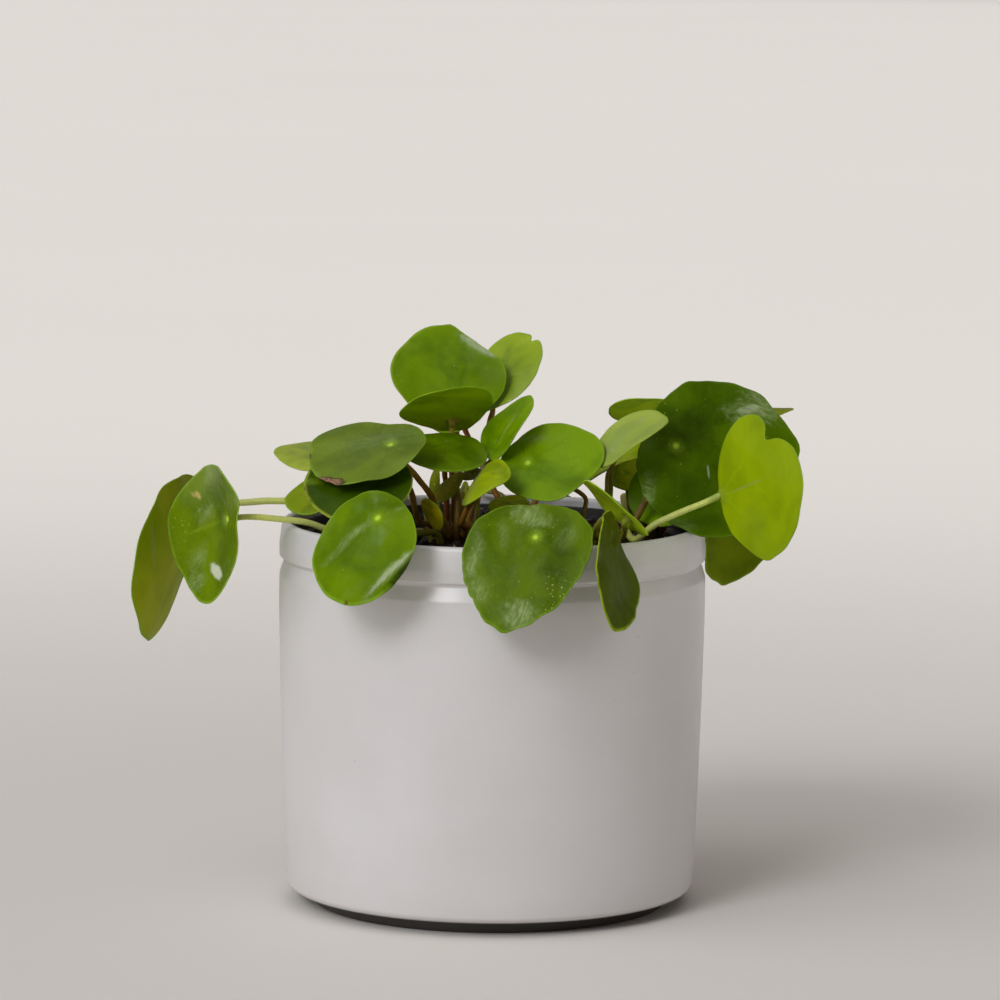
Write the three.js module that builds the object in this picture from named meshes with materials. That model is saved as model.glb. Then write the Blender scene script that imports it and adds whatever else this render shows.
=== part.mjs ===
// Potted pilea: round peltate leaves on long stalks, growing from short woody
// stems in a black grow pot that stands inside a white ceramic pot.
// Millimetres, +Z up. Origin at the centre of the flat foot under the ceramic pot;
// -Y is the front of the plant, +X its right.
import * as THREE from "three";

// ---------------------------------------------------------------- dimensions
// ceramic pot
const POT_HEIGHT = 153; // foot to lip
const POT_RADIUS = 85; // over the rim band and over the shoulder
const WALL = 4.5; // wall thickness
const RIM_BAND = 14; // height of the straight band at the mouth
const GROOVE_DEPTH = 1.3; // how far the step under the band goes in
const SHOULDER = 17; // height of the rounded shoulder under the groove
const BODY_LOW_RADIUS = 82; // radius low on the body
const FOOT_RADIUS = 71.6; // recessed flat foot
const FOOT_HEIGHT = 5.4;
const FLOOR_TOP = 12; // inside floor of the pot
const POT_SEGMENTS = 56;
// grow pot inside it
const GROW_RIM_Z = 149.5;
const GROW_RIM_RADIUS = 79.6;
const GROW_TOP_RADIUS = 77.2;
const GROW_LOW_RADIUS = 62;
const GROW_WALL = 1.3;
// soil
const SOIL_TOP = 145;
const GAP = 0.35; // clearance between touching pieces
// plant
const BLADE_THICKNESS = 0.9;
const STALK_FLARE = 1.15; // a stalk is this much thicker where it leaves the stem
const STEM_TOP = 152.5;
// [x, y, radius] of each short woody stem
const STEMS = {
  stem_main: [-16, -17, 6.2],
  stem_right: [43, -21, 6.0],
  stem_back: [10, 38, 5.2],
  stem_left: [-42, 20, 5.2],
  stem_far_right: [62, 24, 5.2],
};

// ------------------------------------------------------------------ colours
const DEEP = 0x3a5a14;
const MID = 0x4d7a26;
const BRIGHT = 0x5f9a1c;
const LIME = 0x88b026;
const OLIVE = 0x74803a;
const GLAZE = new THREE.MeshStandardMaterial({ color: 0xe6e3e1, roughness: 0.45, metalness: 0 });
const GROW_PLASTIC = new THREE.MeshStandardMaterial({ color: 0x17181a, roughness: 0.6, metalness: 0 });
const SOIL = new THREE.MeshStandardMaterial({ color: 0x2c1f16, roughness: 1, metalness: 0 });
const BARK = new THREE.MeshStandardMaterial({ color: 0x5b4029, roughness: 0.9, metalness: 0 });

// ------------------------------------------------------------------- leaves
// One row for each leaf, a round blade with its stalk joined to its underside.
// turn: azimuth of the blade's upper face (0 = front, 90 = right), its elevation,
//   and how far the tip is turned from straight downhill, in degrees.
// size: blade length, width as a share of it, distance from the stalk's joint to
//   the blade's centre as a share of it.
// outline: departures of the rim from an ellipse (sin 2, cos 3, sin 3, cos 4, sin 4).
// cup: curvature along, across and diagonal. notch: depth, direction, width.
// path: centre line of the stalk from the stem to the joint under the blade.
const PALE = "pale";
const RED = "red";
const LEAVES = [
  { name: "leaf_left_small_light", tint: BRIGHT, stalk: PALE,
    turn: [-23.62, 73.12, -104.26], size: [38.94, 0.941, 0.216], outline: [-0.0047, 0.0049, 0.0003, 0.0013, 0.0039], cup: [-0.0234, -0.0981, 0.2683], notch: [0, 0, 1], stalkRadius: 1.23,
    path: [[-48.44, 22.65, 147.6], [-49.54, 23.11, 149.42], [-50.66, 23.58, 151.25], [-51.79, 24.05, 153.09], [-52.92, 24.51, 154.93], [-54.05, 24.96, 156.78], [-55.16, 25.39, 158.63], [-56.25, 25.8, 160.49], [-57.31, 26.16, 162.35], [-58.33, 26.48, 164.2], [-59.3, 26.75, 166.06], [-60.21, 26.95, 167.92], [-61.06, 27.09, 169.77], [-61.83, 27.15, 171.62], [-62.51, 27.12, 173.47], [-63.1, 27, 175.31]] },
  { name: "leaf_left_low_light", tint: BRIGHT, stalk: PALE,
    turn: [-52.43, 55.39, -81.36], size: [32.85, 0.924, 0.221], outline: [-0.0022, 0.0025, 0.0016, 0.0013, -0.001], cup: [0.0255, -0.1371, 0.2189], notch: [0, 0, 1], stalkRadius: 1.19,
    path: [[-46.17, 14.48, 147.6], [-46.87, 13.54, 149.11], [-47.74, 12.35, 150.55], [-48.77, 10.94, 151.94], [-49.93, 9.35, 153.27], [-51.18, 7.63, 154.56], [-52.5, 5.82, 155.79], [-53.86, 3.96, 156.99], [-55.25, 2.08, 158.14], [-56.62, 0.23, 159.25], [-57.96, -1.56, 160.33], [-59.23, -3.23, 161.38], [-60.41, -4.75, 162.4], [-61.47, -6.08, 163.39], [-62.39, -7.18, 164.36], [-63.14, -8, 165.31]] },
  { name: "leaf_far_left_back", tint: OLIVE, stalk: PALE,
    turn: [259.88, 5.96, 56.91], size: [76.11, 0.816, 0.274], outline: [-0.0064, -0.0341, 0.0138, 0.0115, 0.0212], cup: [0.1825, 0.4252, 0.0894], notch: [0, 0, 1], stalkRadius: 1.43,
    path: [[-49.15, 19.17, 150.4], [-52.51, 18.96, 154.08], [-57.5, 19.69, 154.8], [-63.47, 20.81, 155.2], [-69.7, 21.76, 155.54], [-75.54, 22, 156.12], [-81.22, 22, 156.88], [-86.92, 22, 156.96], [-92.63, 22, 156.87], [-98.32, 22, 156.33], [-104.4, 21.77, 155.98], [-110.54, 21.17, 155.78], [-114.22, 21.52, 154.91], [-116, 25.98, 150.59], [-117.82, 31.14, 146.24], [-122.14, 33, 145.63]] },
  { name: "leaf_left_shaded", tint: DEEP, stalk: RED,
    turn: [-7.74, 56.25, -48.22], size: [42.11, 0.977, 0.236], outline: [-0.0108, -0.0042, 0.0021, -0.0072, -0.0027], cup: [0.0291, -0.0473, -0.1446], notch: [0, 0, 1], stalkRadius: 1.24,
    path: [[-22.9, -21.01, 150.4], [-24.51, -21.84, 153.43], [-26.11, -24, 154.5], [-27.71, -27.52, 155.05], [-29.03, -30.06, 155.94], [-30.04, -31.16, 158.51], [-30.94, -32, 162.14], [-31.41, -33.42, 165.27], [-32.24, -35.17, 168.3], [-33.34, -37.13, 170.78], [-34.84, -39.27, 172.08], [-37.01, -41.76, 172.82], [-39.47, -44.42, 173.36], [-41.76, -47.07, 173.99], [-43.44, -49.51, 174.99], [-44.33, -51.6, 177.35]] },
  { name: "leaf_far_left_front", tint: MID, stalk: PALE,
    turn: [-66.88, -0.34, -60.83], size: [54.96, 0.962, 0.233], outline: [-0.0032, -0.0315, -0.0235, -0.0038, -0.034], cup: [0.3455, 0.2368, -0.0212], notch: [0, 0, 1], stalkRadius: 1.31,
    path: [[-24, -17.96, 147.6], [-27.38, -18.43, 150.36], [-31.83, -19.29, 150.73], [-36.99, -20.45, 150.95], [-42.65, -21.82, 151.08], [-48.61, -23.33, 151.2], [-54.66, -24.87, 151.4], [-60.59, -26.38, 151.78], [-66.19, -27.75, 152.51], [-71.38, -29.1, 154.62], [-76.57, -30.07, 155.83], [-82.07, -30.42, 156.36], [-87.61, -30.72, 156.86], [-93.18, -30.97, 157.29], [-98.74, -30.98, 157.17], [-104.3, -30.84, 156.41]] },
  { name: "leaf_left_large", tint: MID, stalk: PALE,
    turn: [-23.39, 62.24, -60.68], size: [46.57, 0.935, 0.225], outline: [-0.0351, -0.066, 0.0068, -0.0052, 0.0189], cup: [0.002, -0.0739, -0.0707], notch: [0, 0, 1], stalkRadius: 1.27,
    path: [[-17.84, -24.79, 150.4], [-18.26, -26.89, 153.21], [-19.4, -27.12, 155.97], [-21.41, -27.31, 158.66], [-23.11, -27.95, 161.16], [-23.83, -28.65, 164.67], [-25.28, -30.25, 167.56], [-27.01, -31.88, 170.06], [-28.78, -33.65, 172.43], [-30.48, -35.35, 174.8], [-32.23, -37.02, 177.05], [-34.1, -38.79, 178.93], [-35.74, -40.7, 181.45], [-37.26, -42.33, 183.96], [-39.11, -44.99, 185.79], [-40.37, -47, 188.35]] },
  { name: "leaf_top_large", tint: BRIGHT, stalk: RED,
    turn: [1.21, 25.1, -161.57], size: [46.26, 0.931, 0.244], outline: [0.0357, 0.0146, 0.0284, 0.0149, -0.0567], cup: [-0.1857, 0.1471, 0.1155], notch: [0, 0, 1], stalkRadius: 1.27,
    path: [[-13.33, -9.45, 147.6], [-12.65, -6.82, 151.01], [-12.66, -4, 154.64], [-13.26, -0.98, 158.29], [-14.01, 2.32, 161.88], [-14.8, 5.87, 165.42], [-14.72, 9.83, 168.65], [-14.55, 13.68, 171.7], [-14.52, 17.31, 174.75], [-14.63, 20.64, 177.84], [-14.81, 23.54, 180.96], [-15.03, 25.92, 184.14], [-15.25, 27.66, 187.37], [-15.41, 28.66, 190.67], [-15.5, 28.81, 194.03], [-15.47, 28, 197.48]] },
  { name: "leaf_front_left", tint: BRIGHT, stalk: PALE,
    turn: [-28.51, 33.25, -16.64], size: [46.8, 0.932, 0.267], outline: [0.0012, 0.0062, 0.0055, 0.0044, 0.0159], cup: [-0.1075, -0.2456, 0.1417], notch: [0, 0, 1], stalkRadius: 1.27,
    path: [[-20.77, -23.43, 147.6], [-22.37, -25.56, 151.05], [-24.99, -28.55, 151.5], [-28.32, -32.14, 151.72], [-31.77, -36.11, 151.86], [-34.78, -40.2, 152.07], [-36.82, -44.23, 152.53], [-38.44, -48.35, 153.75], [-39.85, -52.62, 155.5], [-40.96, -56.99, 157.36], [-41.68, -61.41, 158.87], [-42, -65.96, 159.81], [-42.09, -70.69, 160.42], [-42.41, -75.46, 161.42], [-42.83, -79.98, 162.56], [-44.23, -84, 164.37]] },
  { name: "leaf_top_back_right", tint: OLIVE, stalk: RED,
    turn: [-52.34, 35.34, 153.81], size: [39.32, 0.94, 0.226], outline: [-0.0017, -0.0075, -0.0004, -0.0071, -0.0051], cup: [-0.1083, -0.0645, 0.0974], notch: [0.12, 10, 5], stalkRadius: 1.23,
    path: [[-8.72, -13.77, 147.6], [-6.82, -12.37, 152.26], [-8.06, -8.38, 156.02], [-6.83, -4.03, 159.17], [-5.91, 0.24, 162.51], [-5.26, 4.5, 165.93], [-4.7, 8.75, 169.4], [-4.2, 13.02, 172.89], [-3.74, 17.31, 176.35], [-3.27, 21.64, 179.77], [-2.77, 26.01, 183.11], [-2.18, 30.42, 186.36], [-1.46, 34.92, 189.46], [-0.49, 39.6, 192.32], [-1.11, 42.99, 196.72], [-3.12, 44, 201.63]] },
  { name: "leaf_mid_shadowed", tint: MID, stalk: RED,
    turn: [8.47, 74.8, -10.25], size: [35.91, 0.934, 0.248], outline: [0.0021, -0.0006, 0.0023, -0.0035, -0.0015], cup: [-0.0943, -0.1536, -0.0882], notch: [0, 0, 1], stalkRadius: 1.21,
    path: [[-19.61, -9.93, 147.6], [-20.96, -8.36, 150.42], [-19.65, -8.52, 152.37], [-18.43, -8.86, 154.38], [-18.34, -8.52, 157.24], [-18.43, -8.19, 160.43], [-18.45, -8.16, 163.24], [-18.39, -8.65, 165.96], [-18.68, -9.74, 168.7], [-19.23, -10.94, 171.6], [-19.29, -13.33, 174], [-19.05, -15.3, 176.25], [-18.94, -17.19, 178.63], [-18.88, -18.87, 181.14], [-18.84, -20.16, 183.8], [-18.72, -21, 186.69]] },
  { name: "leaf_mid_under", tint: OLIVE, stalk: RED,
    turn: [181.32, 53.58, 168.02], size: [38.87, 0.928, 0.33], outline: [0.0078, -0.0355, -0.0152, 0.0418, -0.0153], cup: [-0.1595, -0.1328, 0.3163], notch: [0, 0, 1], stalkRadius: 1.23,
    path: [[-16.52, -9.06, 150.4], [-16.37, -6.56, 152.77], [-16.12, -5.97, 155.7], [-15.78, -5.56, 158.98], [-15.62, -5.32, 162.62], [-16.05, -5.68, 166.41], [-16.5, -6.1, 170.16], [-16.65, -6.26, 173.92], [-16.74, -6.34, 177.53], [-16.78, -6.36, 180.87], [-16.81, -6.33, 183.85], [-16.82, -6.26, 186.34], [-16.83, -6.13, 188.23], [-16.82, -5.73, 189.4], [-16.7, -2.32, 190.06], [-16.73, -1, 192.81]] },
  { name: "leaf_centre_right", tint: BRIGHT, stalk: RED,
    turn: [-17.04, 45.49, 96.48], size: [41.5, 0.957, 0.228], outline: [0.014, 0.0002, 0.0084, 0.0137, 0.018], cup: [0.0271, -0.0137, -0.1013], notch: [0, 0, 1], stalkRadius: 1.24,
    path: [[35.97, -24.33, 147.6], [34.15, -25.19, 150.2], [34.19, -25.24, 153.11], [34.86, -25.17, 156.37], [35.7, -25.08, 159.68], [36.37, -25.02, 162.75], [36.39, -25.03, 165.3], [34.18, -25.41, 167.45], [31.17, -25.96, 169.3], [28.45, -26.46, 170.82], [25.39, -26.99, 172.09], [22.24, -27.56, 173.24], [19.23, -28.23, 174.41], [16.62, -29, 175.76], [14.64, -29.92, 177.42], [13.42, -31.38, 179.88]] },
  { name: "leaf_front_large", tint: MID, stalk: PALE,
    turn: [-15.14, 37.12, -15.58], size: [53.13, 0.929, 0.186], outline: [-0.0323, 0.0441, 0.0331, -0.0041, -0.004], cup: [-0.2743, 0.0624, -0.0755], notch: [0, 0, 1], stalkRadius: 1.3,
    path: [[38.1, -27.14, 150.4], [36.75, -29.22, 154.08], [35.28, -32.15, 156.83], [33.71, -35.81, 158.76], [32.08, -40.09, 159.99], [30.39, -44.84, 160.61], [28.68, -49.96, 160.76], [26.98, -55.32, 160.52], [25.29, -60.8, 160.03], [23.66, -66.26, 159.39], [22.1, -71.6, 158.71], [20.63, -76.68, 158.11], [19.29, -81.38, 157.69], [18.09, -85.59, 157.56], [17.06, -89.17, 157.85], [16.22, -92, 158.65]] },
  { name: "leaf_mid_folded", tint: BRIGHT, stalk: RED,
    turn: [-63.83, 31.6, 173.46], size: [30.22, 0.952, 0.245], outline: [0.003, 0.0262, -0.0167, -0.009, 0.0336], cup: [-0.1787, 0.0901, -0.1584], notch: [0, 0, 1], stalkRadius: 1.18,
    path: [[-9.41, -21.36, 147.6], [-7.47, -21.9, 150.54], [-8.24, -23, 153.02], [-10.09, -24.11, 155.17], [-9.83, -24.14, 157.43], [-8.94, -23.76, 160.09], [-7.86, -23.11, 162.98], [-6.98, -22.44, 165.78], [-6.15, -21.53, 168.61], [-5.29, -20.65, 171.44], [-4.3, -20.07, 174.2], [-2.96, -20.06, 176.83], [-0.86, -20.51, 179.32], [1.16, -21.19, 181.77], [2.09, -21.93, 184.3], [0.96, -22.75, 187]] },
  { name: "leaf_centre_lime", tint: LIME, stalk: RED,
    turn: [319.94, 56.2, -59.59], size: [23.54, 1.013, 0.275], outline: [0.0031, -0.0222, 0.011, 0.0109, -0.0552], cup: [-0.7262, -0.1866, 0.2883], notch: [0, 0, 1], stalkRadius: 1.19,
    path: [[-11.66, -23.62, 150.4], [-10.69, -25.43, 152.35], [-10.93, -27.27, 153.73], [-12.23, -29.83, 154.55], [-12.54, -31.9, 155.71], [-11.91, -33.5, 157.85], [-10.93, -34.97, 160.38], [-9.93, -36.55, 162.58], [-8.77, -38.26, 164.52], [-7.43, -39.92, 166.39], [-5.93, -41.34, 168.24], [-3.78, -42.47, 170.01], [-1.37, -43.47, 171.75], [0.57, -44.5, 173.57], [1.3, -45.71, 175.56], [1.15, -47.26, 177.92]] },
  { name: "leaf_right_narrow", tint: LIME, stalk: PALE,
    turn: [110.68, 46.02, 167.73], size: [32.66, 0.944, 0.196], outline: [0.0016, -0.0007, 0.0098, 0.005, 0.0008], cup: [-0.0452, -0.2113, -0.0154], notch: [0, 0, 1], stalkRadius: 1.19,
    path: [[44.82, -28.5, 150.4], [45.07, -29.69, 153.03], [45.52, -31.2, 153.71], [46.4, -33.15, 153.19], [47.56, -35.41, 152.36], [48.74, -37.74, 151.58], [49.67, -39.93, 151.17], [50.37, -41.9, 151.68], [50.99, -43.81, 153.02], [51.29, -45.78, 154.53], [51.41, -47.8, 155.88], [51.37, -50.03, 156.9], [51.16, -52.55, 157.87], [50.92, -54.82, 158.85], [51, -56.26, 160.05], [52.8, -57, 162]] },
  { name: "leaf_right_back_top", tint: MID, stalk: RED,
    turn: [178.85, 62.7, 120.58], size: [32.96, 0.946, 0.212], outline: [0.0028, 0.0008, 0.0016, 0.0012, -0.0003], cup: [-0.1065, -0.1577, -0.0274], notch: [0, 0, 1], stalkRadius: 1.19,
    path: [[68.12, 20.76, 147.6], [69.51, 20.22, 150.33], [70.53, 19.89, 153.2], [71.22, 19.77, 156.19], [71.64, 19.86, 159.27], [71.82, 20.15, 162.41], [71.81, 20.65, 165.6], [71.67, 21.37, 168.8], [71.43, 22.32, 171.99], [71.17, 23.43, 175.25], [70.56, 23.5, 178.84], [69.85, 23.55, 182.13], [69.21, 23.77, 185.33], [68.69, 24.11, 188.44], [68.3, 24.54, 191.42], [68.09, 25, 194.25]] },
  { name: "leaf_right_light", tint: OLIVE, stalk: RED,
    turn: [-63.37, 47.72, 162.14], size: [33.89, 0.95, 0.248], outline: [0.0033, -0.0285, 0.0065, -0.0194, -0.0161], cup: [-0.1828, 0.3057, -0.0498], notch: [0, 0, 1], stalkRadius: 1.2,
    path: [[47.94, -26.94, 147.6], [49.2, -28.47, 150.13], [49.15, -28.47, 152.76], [48.42, -27.77, 155.46], [47.35, -26.69, 158.2], [46.19, -25.45, 160.99], [45.2, -24.23, 163.82], [44.66, -23.24, 166.69], [44.64, -22.51, 169.7], [44.75, -22.01, 172.69], [45.08, -22.75, 174.98], [45.82, -25.04, 176.91], [46.7, -28.03, 178.69], [47.44, -30.88, 180.55], [47.75, -32.72, 182.7], [46.66, -33.5, 185.41]] },
  { name: "leaf_front_narrow", tint: DEEP, stalk: PALE,
    turn: [76.12, 10.59, -10.22], size: [45.82, 0.888, 0.265], outline: [0.0006, 0.0035, -0.0388, 0.018, -0.0365], cup: [0.0174, -0.083, 0.3276], notch: [0, 0, 1], stalkRadius: 1.26,
    path: [[41.31, -28.62, 147.6], [40.76, -31.16, 151.12], [39.95, -35.17, 151.92], [39.11, -40.07, 152.37], [38.72, -44.89, 152.98], [38.87, -49.29, 154.13], [39.26, -53.64, 155.65], [39.79, -57.96, 157.33], [40.33, -62.28, 158.91], [41.06, -66.63, 160.72], [41.94, -70.97, 162.58], [42.67, -75.25, 163.79], [43, -79.47, 163.27], [43.13, -83.68, 160.34], [43.35, -87.63, 157.77], [45.54, -91, 158.16]] },
  { name: "leaf_right_dark", tint: DEEP, stalk: PALE,
    turn: [10.47, 19.8, 72.27], size: [64.42, 0.997, 0.268], outline: [0.0149, 0.0097, -0.0021, -0.0168, 0.0095], cup: [-0.0328, -0.1431, 0.0036], notch: [0, 0, 1], stalkRadius: 1.37,
    path: [[50.92, -20.73, 147.6], [52.56, -20.63, 150.2], [54.18, -20.45, 152.89], [55.78, -20.24, 155.65], [57.36, -20, 158.45], [58.91, -19.79, 161.29], [60.43, -19.62, 164.13], [61.9, -19.52, 166.96], [63.34, -19.53, 169.75], [64.72, -19.67, 172.48], [66.06, -19.98, 175.14], [67.33, -20.48, 177.68], [68.55, -21.2, 180.11], [69.69, -22.18, 182.39], [70.77, -23.43, 184.5], [71.77, -25, 186.43]] },
  { name: "leaf_right_tip", tint: MID, stalk: PALE,
    turn: [3.56, 85.88, 89.75], size: [33.59, 0.949, 0.231], outline: [0.0008, 0.0001, 0.0007, 0.0003, 0.0003], cup: [0.0752, -0.1497, -0.0955], notch: [0, 0, 1], stalkRadius: 1.2,
    path: [[65.78, 18.2, 150.4], [67.15, 16.82, 153.43], [68.86, 15.93, 156.4], [70.86, 15.49, 159.34], [73.11, 15.43, 162.23], [75.56, 15.69, 165.08], [78.17, 16.23, 167.9], [80.5, 16.83, 170.9], [82.88, 17.58, 173.88], [85.24, 18.43, 176.86], [87.52, 19.3, 179.84], [89.67, 20.15, 182.84], [91.63, 20.9, 185.86], [93.33, 21.5, 188.92], [94.73, 21.89, 192.02], [95.76, 22, 195.18]] },
  { name: "leaf_right_olive", tint: OLIVE, stalk: PALE,
    turn: [43.35, 4.06, -6.84], size: [40.27, 0.955, 0.199], outline: [-0.002, -0.0013, -0.0066, 0.0013, -0.0059], cup: [-0.3811, 0.1754, -0.0439], notch: [0, 0, 1], stalkRadius: 1.23,
    path: [[68.97, 24.14, 150.4], [70.1, 24.28, 153.16], [71.58, 24.65, 155.39], [73.36, 25.2, 156.23], [75.39, 25.89, 156.69], [77.61, 26.68, 156.82], [79.99, 27.55, 156.68], [82.45, 28.44, 156.32], [84.95, 29.33, 155.82], [87.45, 30.16, 155.05], [89.89, 30.91, 154.25], [92.21, 31.53, 153.47], [94.37, 31.99, 152.77], [96.31, 32.25, 152.2], [97.99, 32.26, 151.83], [99.35, 32, 151.72]] },
  { name: "leaf_right_under", tint: DEEP, stalk: RED,
    turn: [-1.41, 41.32, -21.8], size: [32.54, 0.909, 0.21], outline: [0.0002, 0.0071, -0.0052, 0.0027, -0.006], cup: [-0.1008, -0.1005, 0.132], notch: [0, 0, 1], stalkRadius: 1.19,
    path: [[49.38, -16.66, 150.4], [50.39, -15.43, 151.38], [51.64, -13.92, 152.3], [53.11, -12.15, 153.13], [54.75, -10.13, 153.84], [56.5, -8.94, 155.34], [58.34, -7.95, 157], [60.24, -7, 158.66], [62.17, -6.08, 160.23], [64.08, -5.19, 161.67], [65.96, -4.42, 162.99], [67.73, -3.78, 164.23], [69.21, -2.89, 165.79], [70, -2.24, 167.5], [70.59, -1.93, 169.14], [70.92, -2, 170.72]] },
  { name: "leaf_centre_olive_small", tint: OLIVE, stalk: PALE,
    turn: [-55.02, -20.94, 16.94], size: [13.87, 0.941, 0.241], outline: [0.001, 0, -0.0046, 0.0019, 0.0014], cup: [-0.0407, -0.3236, 0.0605], notch: [0, 0, 1], stalkRadius: 1.09,
    path: [[-23.48, -14.8, 147.6], [-25.31, -14.32, 150.25], [-26.05, -13.29, 153.2], [-26.57, -11.31, 156.7], [-26.94, -9.26, 159.83], [-27.12, -8.06, 161.63], [-27.11, -8.41, 161.87], [-26.94, -10.07, 161.96], [-26.7, -12.77, 161.98], [-26.54, -16.24, 161.9], [-26.66, -20.22, 161.66], [-26.26, -24.41, 161.86], [-26, -28.62, 161.97], [-25.12, -32.38, 162.2], [-24.41, -35.48, 162.46], [-25.69, -38, 162.75]] },
  { name: "leaf_right_spot_lime", tint: LIME, stalk: PALE,
    turn: [8.19, 53.78, 76.19], size: [30.75, 0.947, 0.248], outline: [-0.002, 0.0041, 0.002, -0.0031, -0.0038], cup: [-0.0134, 0.552, -0.2899], notch: [0, 0, 1], stalkRadius: 1.18,
    path: [[57.79, 18.52, 147.6], [57.35, 17.97, 148.82], [56.91, 17.46, 150.2], [56.48, 17, 151.73], [56.06, 16.57, 153.37], [55.66, 16.16, 155.1], [55.27, 15.78, 156.88], [54.9, 15.42, 158.69], [54.56, 15.07, 160.5], [54.24, 14.72, 162.27], [53.96, 14.38, 163.99], [53.72, 14.04, 165.62], [53.51, 13.68, 167.12], [53.35, 13.31, 168.48], [53.23, 12.92, 169.67], [53.17, 12.5, 170.65]] },
  { name: "leaf_right_edge_on", tint: LIME, stalk: PALE,
    turn: [-78.4, 58.25, 163.09], size: [31.45, 0.954, 0.192], outline: [0.0026, -0.0009, -0.0017, 0.0002, 0.0009], cup: [-0.3054, 0.2992, -0.0398], notch: [0, 0, 1], stalkRadius: 1.19,
    path: [[43.87, -13.34, 147.6], [44.05, -12.08, 149.48], [44.3, -10.74, 151.34], [44.61, -9.34, 153.18], [44.95, -7.89, 155], [45.31, -6.42, 156.81], [45.67, -4.96, 158.62], [46, -3.52, 160.42], [46.3, -2.14, 162.22], [46.53, -0.82, 164.02], [46.68, 0.4, 165.83], [46.72, 1.5, 167.66], [46.75, 2.63, 169.44], [46.65, 3.6, 171.22], [46.39, 4.4, 173.02], [45.96, 5, 174.84]] },
  { name: "leaf_centre_small_right", tint: DEEP, stalk: PALE,
    turn: [-7.51, 52.69, -66.51], size: [16.59, 0.945, 0.232], outline: [-0.0031, -0.003, -0.003, -0.0027, -0.0005], cup: [0.128, -0.3068, -0.0033], notch: [0, 0, 1], stalkRadius: 1.12,
    path: [[36.05, -17.84, 150.4], [35.05, -17.33, 151.65], [33.73, -16.6, 152.68], [32.12, -15.7, 153.52], [30.29, -14.67, 154.21], [28.29, -13.53, 154.75], [26.17, -12.33, 155.19], [23.97, -11.11, 155.54], [21.77, -9.89, 155.82], [19.59, -8.72, 156.07], [17.51, -7.62, 156.31], [15.57, -6.64, 156.54], [13.79, -6.02, 157.1], [12.23, -5.76, 157.95], [10.97, -5.74, 158.89], [10.05, -6, 159.97]] },
  { name: "leaf_centre_dark_small", tint: DEEP, stalk: PALE,
    turn: [-64.67, 44.3, -31.59], size: [16.91, 0.95, 0.234], outline: [0.0009, -0.0038, -0.0124, 0.0017, -0.0021], cup: [-0.0343, -0.2852, -0.0292], notch: [0, 0, 1], stalkRadius: 1.12,
    path: [[-14.64, -24.72, 147.6], [-14.49, -25.5, 148.76], [-14.42, -26.03, 150.12], [-14.58, -26.22, 151.7], [-14.48, -26.02, 153.4], [-14.31, -25.72, 155.18], [-14.21, -25.32, 157.02], [-14.14, -24.85, 158.89], [-14.11, -24.34, 160.76], [-14.13, -23.81, 162.59], [-14.18, -23.29, 164.37], [-14.29, -22.82, 166.05], [-14.45, -22.43, 167.6], [-14.66, -22.14, 168.99], [-14.94, -21.99, 170.2], [-15.28, -22, 171.18]] },
  { name: "leaf_right_lime", tint: LIME, stalk: PALE,
    turn: [128.26, 2.84, -102.07], size: [58.24, 0.942, 0.466], outline: [0.031, 0.0514, 0.0126, 0.0218, -0.0188], cup: [-0.1309, 0.0816, -0.175], notch: [0.085, 294, 9], stalkRadius: 1.33,
    path: [[50.19, -24.23, 150.4], [51.92, -25.11, 152.89], [53.17, -28.16, 151.93], [54.34, -32.09, 150.56], [55.94, -34.38, 150.23], [58.34, -35.48, 152.02], [61.21, -36.32, 154.84], [64.1, -37.21, 157.13], [67.03, -38.2, 158.86], [70.07, -39.17, 160.46], [73.16, -40.01, 161.99], [76.31, -40.84, 163.46], [79.51, -41.61, 164.86], [82.72, -41.99, 166.28], [85.93, -42, 167.76], [89.16, -42, 169.28]] },
  { name: "leaf_centre_back_small", tint: OLIVE, stalk: PALE,
    turn: [-66.11, 3.49, -130.13], size: [12.7, 0.937, 0.26], outline: [0.0011, -0.0019, -0.0003, 0.0003, -0.0003], cup: [-0.3912, 0.0041, -0.0018], notch: [0, 0, 1], stalkRadius: 1.08,
    path: [[-21.99, -12.03, 150.4], [-22.48, -11.57, 151.51], [-22.79, -10.89, 152.71], [-22.86, -9.95, 153.95], [-22.66, -8.78, 155.16], [-22.38, -7.52, 156.41], [-22.02, -6.18, 157.68], [-21.61, -4.8, 158.94], [-21.16, -3.41, 160.18], [-20.69, -2.03, 161.38], [-20.21, -0.71, 162.52], [-19.71, 0.55, 163.57], [-20.38, 1.19, 164.59], [-21.13, 1.68, 165.5], [-21.99, 1.96, 166.26], [-23.03, 2, 166.87]] },
  { name: "leaf_centre_pale_small", tint: LIME, stalk: PALE,
    turn: [-67.88, 8.44, -150.53], size: [7.86, 0.944, 0.24], outline: [0.0008, -0.0008, 0.0003, -0.0003, -0.0002], cup: [-0.1106, -0.1279, 0.0334], notch: [0, 0, 1], stalkRadius: 1.03,
    path: [[-10.75, -11.32, 150.4], [-10.34, -10.51, 151.05], [-10, -9.42, 151.67], [-9.66, -8.1, 152.32], [-9.34, -6.66, 153.03], [-9.07, -5.27, 154.1], [-8.86, -3.86, 155.18], [-8.68, -2.37, 156.19], [-8.55, -0.84, 157.13], [-8.46, 0.68, 158], [-8.41, 2.16, 158.8], [-8.37, 3.55, 159.52], [-9.12, 4.49, 160.29], [-9.91, 5.25, 160.99], [-10.76, 5.77, 161.62], [-11.69, 6, 162.18]] },
  { name: "leaf_centre_grey_small", tint: OLIVE, stalk: PALE,
    turn: [178.21, 63.11, -10.8], size: [14.85, 0.948, 0.257], outline: [0.0041, -0.0021, -0.001, 0.0001, -0.0002], cup: [0.1906, -0.4005, -0.0874], notch: [0, 0, 1], stalkRadius: 1.1,
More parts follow.
